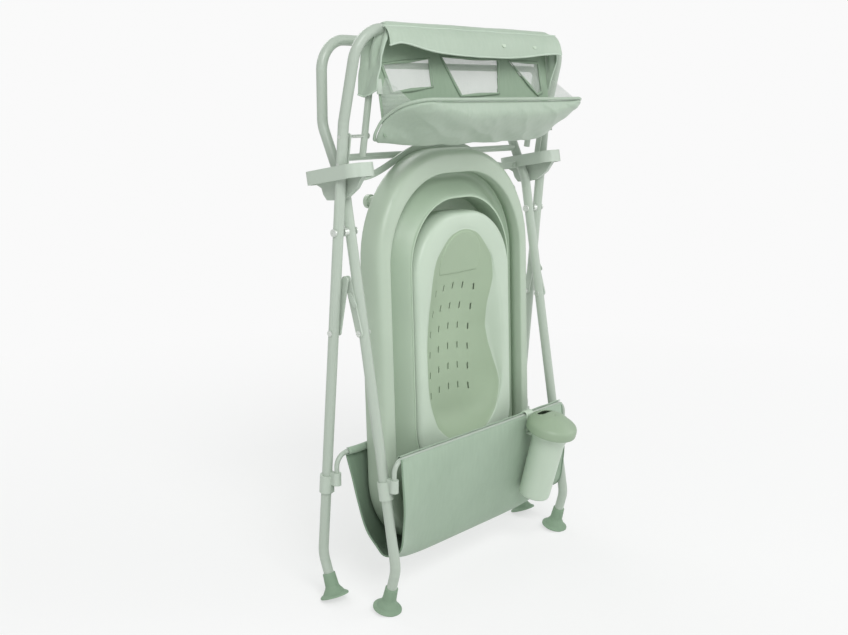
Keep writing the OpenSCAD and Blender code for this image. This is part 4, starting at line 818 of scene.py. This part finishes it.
def smooth_line(points, steps):
    """A smooth line through points, with evenly spaced steps."""
    pts = np.vstack([2 * points[0] - points[1], points, 2 * points[-1] - points[-2]])
    dense = np.vstack([curved(pts, 12), pts[-2:-1]])
    run = np.concatenate([[0], np.cumsum(np.linalg.norm(np.diff(dense, axis=0), axis=1))])
    at = np.linspace(0, run[-1], steps)
    return np.column_stack([np.interp(at, run, dense[:, k]) for k in range(dense.shape[1])])


def sheet_piece(name, lattice, body, material, stands_for, thickness, finer):
    """A cloth sheet from a lattice of points, rows by columns."""
    rows, columns = lattice.shape[:2]
    made = piece(name, lattice.reshape(-1, 3), rings_faces(rows, columns, wrap=False), body,
                 material, stands_for, closed=False)
    thicken(made, thickness, finer)
    smooth_shaded(made)
    return made


def follow_both_frames(made):
    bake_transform(made)


def make_basket():
    steps = 64
    run = np.linspace(0, 1, steps)
    half = FRONT_HEM_HALF + 1.5 * np.sin(math.pi * np.clip(run / 0.5, 0, 1))
    half = half + 13 * np.clip((run - 0.5) / 0.5, 0, 1)
    lattice = []
    for share in np.linspace(-1, 1, 61):
        line = SLING_MIDDLE + (SLING_END - SLING_MIDDLE) * abs(share) ** 6
        lattice.append(np.column_stack([share * half, smooth_line(line, steps)]))
    lattice = np.array(lattice).transpose(1, 0, 2)
    run = run[:, None]
    x, z = lattice[:, :, 0], lattice[:, :, 2]
    front_share = np.clip((0.42 - run) / 0.1, 0, 1) * np.clip(run / 0.06, 0, 1)
    lattice[:, :, 1] += 1.3 * smooth_noise(x / 26, z / 160, 4) * front_share
    rear_share = np.clip((run - 0.6) / 0.1, 0, 1) * np.clip((1 - run) / 0.06, 0, 1)
    lattice[:, :, 1] += 0.8 * smooth_noise(x / 40, z / 60, 5) * rear_share
    made = sheet_piece("basket_sling", lattice, None, BASKET, ["basket_fabric"],
                       1.6, True)
    # The faces that look towards the tub show the lining
    made.data.materials.append(BASKET_LINING)
    for polygon in made.data.polygons:
        normal, centre = polygon.normal, polygon.center
        if normal.y * (0.02 - centre.y) + normal.z * (0.25 - centre.z) > 0.004:
            polygon.material_index = 1
    follow_both_frames(made)
    for name, body, (y, z), half, first, last in (
            ("front_hem", "inner_frame", ROD_FRONT, FRONT_HEM_HALF, -200, 110),
            ("rear_hem", "outer_frame", ROD_REAR, REAR_HEM_HALF, 70, 380)):
        rows = []
        for turn in np.radians(np.linspace(first, last, 30)):
            rows.append([(x, y + HEM_RADIUS * math.cos(turn),
                          z + HEM_RADIUS * math.sin(turn) + 0.3 * math.sin(x / 9.0))
                         for x in np.linspace(-half, half, 90)])
        sheet_piece(name, np.array(rows), body, BASKET, (), 1.0,
                                 False)
    # Bound edges at both ends
    for name, column in (("left", 0), ("right", -1)):
        rope = tube("basket_binding_" + name, smooth_line(lattice[:, column], 90), 1.9, None,
                    BASKET_LINING, sides=10)
        follow_both_frames(rope)


# Mat

def roll_point(turn_deg, radius):
    """A point on the rail's roll: 0 is straight up, 90 is the front."""
    turn = math.radians(turn_deg)
    return RAIL_Y - radius * math.sin(turn), RAIL_Z + radius * math.cos(turn)


# The flap's hem, from left to right
HEM_XS = [-256, -245, -233, -205, -170, -138, -75, -10, 82, 140, 184, 222, 247, 256]
HEM_ZS = [1012, 1017, 1021, 1018, 1011, 1006, 1002, 1000.5, 1000.7, 1004, 1008.7, 1011.5, 1012,
          1006]


def make_roll():
    """The cloth stretched over the rail."""
    xs = np.linspace(-243, 243, 120)
    rows = []
    for turn in np.linspace(-100, 100, 36):
        radius = 13.4 + 0.6 * smooth_noise(xs / 13, turn / 24, 7)
        radius = radius - 3.4 * np.clip((np.abs(xs) - 226) / 17, 0, 1) ** 2
        rows.append(np.column_stack([xs, *roll_point(turn, radius)]))
    rows = np.array(rows)
    made = sheet_piece("mat_roll", rows, "outer_frame", COVER, ["mat_sleeve"], 1.2,
                       False)


def make_flap():
    """The front flap, with a wavy hem and a piping along its top."""
    xs = np.linspace(-254, 254, 110)
    hem_z = np.interp(xs, HEM_XS, HEM_ZS)
    hem_z = np.convolve(np.pad(hem_z, 3, "edge"), np.ones(7) / 7, "valid")
    hem_y = -85.0 + 2.2 * np.sin(xs / 60.0)
    top_y, top_z = roll_point(70, 14.4)
    knee_y, knee_z = roll_point(92, 20.0)
    rows = []
    for share in np.linspace(0, 1, 26):
        top_share, knee_share, hem_share = (1 - share) ** 2, 2 * share * (1 - share), share ** 2
        y = top_share * top_y + knee_share * (knee_y - 6) + hem_share * hem_y
        z = top_share * top_z + knee_share * (knee_z + 2) + hem_share * hem_z
        ripple = 2.0 * smooth_noise(xs / 15, share * 4 + xs / 60, 11)
        y = y - ripple * math.sin(math.pi * min(1, share * 1.1))
        rows.append(np.column_stack([xs, y, z]))
    rows = np.array(rows)
    made = sheet_piece("mat_flap", rows, "mat", COVER, ["mat_cover"], 1.6, True)
    hem = tube("mat_flap_hem", smooth_line(rows[-1][::3], 160), 1.9, "mat", PIPING,
               sides=10)
    piping_y, piping_z = roll_point(68, 15.0)
    path = [(x, piping_y, piping_z + 0.4 * math.sin(x / 17)) for x in xs]
    piping = tube("mat_piping", path, 1.5, "mat", PIPING, sides=10)


def make_end(side, name):
    """An end panel that hangs from the roll in gathered folds."""
    drop_shares = [0, 0.12, 0.35, 0.65, 1.0]
    across_share = np.linspace(0, 1, 26)
    low = np.interp(across_share, [0, 0.3, 0.7, 1.0], [941, 934, 929, 933])
    high = 1051 - 60 * (across_share - 0.45) ** 2
    rows = []
    for share in np.linspace(0, 1, 30):
        front = np.interp(share, drop_shares, [-68, -74, -70, -62, -55])
        rear = np.interp(share, drop_shares, [-42, -30, -18, -11, -8])
        flare = 12 * math.sin(math.pi * 0.5 * min(1, share * 2.2))
        gather = 4.6 * math.sin(math.pi * min(1, share * 1.4 + 0.1))
        gather = gather * np.sin(across_share * 15 + 2 * share)
        crumple = 4.0 * smooth_noise(across_share * 9, share * 8, 20 + side)
        rows.append(np.column_stack([side * (244 + flare + gather + crumple),
                                     front + (rear - front) * across_share,
                                     high + (low - high) * share]))
    rows = np.array(rows)
    made = sheet_piece("mat_end_" + name, rows, "mat", COVER, (), 1.4, True)
    path = smooth_line(np.concatenate([rows[:, 0], rows[-1, 1:]])[::2], 90)
    rope = tube("mat_end_edge_" + name, path, 1.6, "mat", PIPING, sides=8)


PANEL_TOP = (RAIL_Y + 15.6, 1040.0)
PANEL_LOW = (-66.6, 861.0)
WINDOWS = [
    [(-239, 984), (-112, 996), (-112, 946), (-221, 936)],
    [(-78, 1000), (94, 998), (84, 935), (-32, 930)],
    [(131, 996), (226, 995), (228, 937), (212, 932)],
]


def panel_y(z):
    share = (PANEL_TOP[1] - z) / (PANEL_TOP[1] - PANEL_LOW[1])
    return PANEL_TOP[0] + (PANEL_LOW[0] - PANEL_TOP[0]) * share


def inside(polygon, x, z):
    found = False
    for (x1, z1), (x2, z2) in zip(polygon, polygon[1:] + polygon[:1]):
        if (z1 > z) != (z2 > z) and x < x1 + (z - z1) * (x2 - x1) / (z2 - z1):
            found = not found
    return found


def net_bars(corners, spacing, width, place, points, faces):
    """Thin crossing threads over a four-sided opening, added to the points and faces of a net."""
    poly = np.array(corners, float)
    for axis in (0, 1):
        for at in np.arange(poly[:, axis].min() + 1, poly[:, axis].max(), spacing):
            hits = []
            for p, q in zip(poly, np.roll(poly, -1, 0)):
                if (p[axis] > at) != (q[axis] > at):
                    t = (at - p[axis]) / (q[axis] - p[axis])
                    hits.append(p[1 - axis] + t * (q[1 - axis] - p[1 - axis]))
            if len(hits) != 2:
                continue
            start = len(points)
            for end in sorted(hits):
                for off, lift in ((-width / 2, 0), (0, -0.3), (width / 2, 0), (0, 0.3)):
                    a, b = (at + off, end) if axis == 0 else (end, at + off)
                    points.append(place(a, b, lift - 0.3 * axis))
            faces += [tuple(start + i for i in f) for f in rings_faces(2, 4)]


def make_windows():
    """The panel behind the flap, with three bound net windows."""
    x, z = np.meshgrid(np.arange(-252, 252.1, 3.0), np.linspace(PANEL_TOP[1], PANEL_LOW[1], 64))
    drape = 2.0 * smooth_noise(x / 34 + z / 60, z / 40, 31)
    ease_share = np.clip((PANEL_TOP[1] - z) / 20, 0, 1)
    points = np.stack([x, panel_y(z) + drape * ease_share, z], axis=-1).reshape(-1, 3)
    faces = []
    for face in rings_faces(*x.shape, wrap=False):
        centre = points[list(face)].mean(axis=0)
        if not any(inside(window, centre[0], centre[2]) for window in WINDOWS):
            faces.append(face)
    panel = piece("mat_panel", points, faces, "mat", PANEL, closed=False)
    add_thickness(panel, 1.4)
    applied(panel)
    for number, window in enumerate(WINDOWS):
        loop = []
        for (x1, z1), (x2, z2) in zip(window, window[1:] + window[:1]):
            loop += [(x1 + (x2 - x1) * t, z1 + (z2 - z1) * t)
                     for t in np.linspace(0, 1, 14, endpoint=False)]
        loop = np.array(loop)
        way = loop - loop.mean(axis=0)
        way /= np.linalg.norm(way, axis=1)[:, None]
        rings = []
        for out, lift in ((-3.38, -2.2), (-3.38, -2.8), (3.38, -3.0), (3.38, -2.1)):
            x, z = (loop + way * out).T
            rings.append(np.column_stack([x, panel_y(z) + lift, z]))
        faces = rings_faces(4, len(loop), close=True)
        piece("window_binding_%d" % number, np.concatenate(rings), faces, "mat",
                           PANEL)
    points, faces = [], []
    for window in WINDOWS:
        net_bars(window, 1.8, 0.75, lambda x, z, lift: (x, panel_y(z) + lift, z), points, faces)
    piece("window_nets", points, faces, "mat", NET, ["mat_net_windows"])


# The padded flap's line (y, z), from the fold to the free edge: in the middle and at the ends
PAD_MIDDLE = np.array([(-56.0, 851.0), (-70.0, 853.5), (-90.0, 865.0), (-112.0, 881.0),
                       (-131.0, 897.0), (-143.0, 912.0), (-149.0, 925.0)])
PAD_END = np.array([(-44.0, 856.0), (-54.0, 872.0), (-68.0, 890.0), (-88.0, 903.0),
                    (-111.0, 914.0), (-132.0, 921.0), (-149.0, 925.5)])


def make_pad():
    """The padded flap: a cushion that hangs in a belly between its ends."""
    rows, columns = 40, 130
    v = np.linspace(0, 1, rows)
    u = np.linspace(-1, 1, columns)
    turn = np.clip((v - 0.62) / 0.38, 0, 1)
    half = 258 - 40 * (1 - np.sqrt(1 - 0.99 * turn ** 2))
    half = half - 5 * np.clip((0.14 - v) / 0.14, 0, 1) ** 2
    middle_line, end_line = smooth_line(PAD_MIDDLE, rows), smooth_line(PAD_END, rows)
    centre, out = np.zeros((rows, columns, 2)), np.zeros((rows, columns, 2))
    for j in range(columns):
        line = middle_line + (end_line - middle_line) * abs(u[j]) ** 4
        way = np.gradient(line, axis=0)
        way /= np.linalg.norm(way, axis=1)[:, None]
        centre[:, j] = line
        out[:, j] = np.column_stack([way[:, 1], -way[:, 0]])
    across = (1 - np.abs(u) ** 22)[None, :]
    along = (1 - np.abs(2 * v - 1) ** 6)[:, None]
    grid_u, grid_v = np.meshgrid(u, v)
    folds = abs(smooth_noise(grid_u * 12 + grid_v * 7, grid_u * 2 - grid_v * 5, 41)) - 0.3
    folds = 4.6 * folds * across * along
    xs = grid_u * half[:, None]
    faces_out = []
    for face in (1, -1):
        t = (face * (2.2 + 7.4 * across * along) + folds)[:, :, None]
        faces_out.append(np.concatenate([xs[:, :, None], centre + out * t], axis=2))
    points = np.array(faces_out).reshape(-1, 3)
    back = rows * columns
    faces = rings_faces(rows, columns, wrap=False)
    faces += [tuple(back + i for i in f[::-1]) for f in faces]
    border = list(range(columns)) + [i * columns + columns - 1 for i in range(1, rows)]
    border += [(rows - 1) * columns + j for j in range(columns - 2, -1, -1)]
    border += [i * columns for i in range(rows - 2, 0, -1)]
    for a, b in zip(border, border[1:] + border[:1]):
        faces.append((a, b, b + back, a + back))
    pad = piece("mat_pad_cushion", points, faces, "mat_pad", PAD, ["mat_pad"])
    puff_up(pad)
    loop = ((points[:back] + points[back:]) / 2)[border + border[:1]]
    tube("pad_piping", smooth_line(loop[::2], 420), 2.8, "mat_pad", COVER, sides=10)


def puff_up(made):
    """Fills a cushion as cloth under a light pressure, and caps how far a vertex moves."""
    last_frame, cap = 20, 0.006
    before = np.array([v.co[:] for v in made.data.vertices])
    cloth = made.modifiers.new("filled", "CLOTH")
    settings = cloth.settings
    settings.quality = 6
    settings.mass = 0.2
    settings.tension_stiffness = 12
    settings.compression_stiffness = 6
    settings.shear_stiffness = 4
    settings.bending_stiffness = 0.4
    settings.use_pressure = True
    settings.uniform_pressure_force = 3.0
    settings.effector_weights.gravity = 0.0
    cloth.point_cache.frame_start = 1
    cloth.point_cache.frame_end = last_frame
    scene = bpy.context.scene
    for frame_number in range(1, last_frame + 1):
        scene.frame_set(frame_number)
    view = bpy.context.evaluated_depsgraph_get()
    move = np.array([v.co[:] for v in made.evaluated_get(view).data.vertices]) - before
    made.modifiers.remove(cloth)
    scene.frame_set(1)
    far = np.linalg.norm(move, axis=1)[:, None]
    move = move * np.minimum(1.0, cap / np.maximum(far, 1e-9))
    for vertex, place in zip(made.data.vertices, before + move):
        vertex.co = place
    add_subdivision(made)
    applied(made)


def make_end_net(side, name):
    points, faces = [], []
    net_bars([(-66, 873), (-57, 938), (-68, 962), (-128, 921)], 2.2, 0.6,
             lambda y, z, lift: (side * 249.0 + lift, y, z), points, faces)
    net = piece("end_net_" + name, points, faces, None, NET,
                ["mat_side_nets"] if side < 0 else ())
    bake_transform(net)


SIDES = ((-1, "left"), (1, "right"))

make_tub()
make_seat()
make_jug()
make_basket()
make_roll()
make_flap()
for side, name in SIDES:
    make_end(side, name)
make_windows()
make_pad()
for side, name in SIDES:
    make_end_net(side, name)
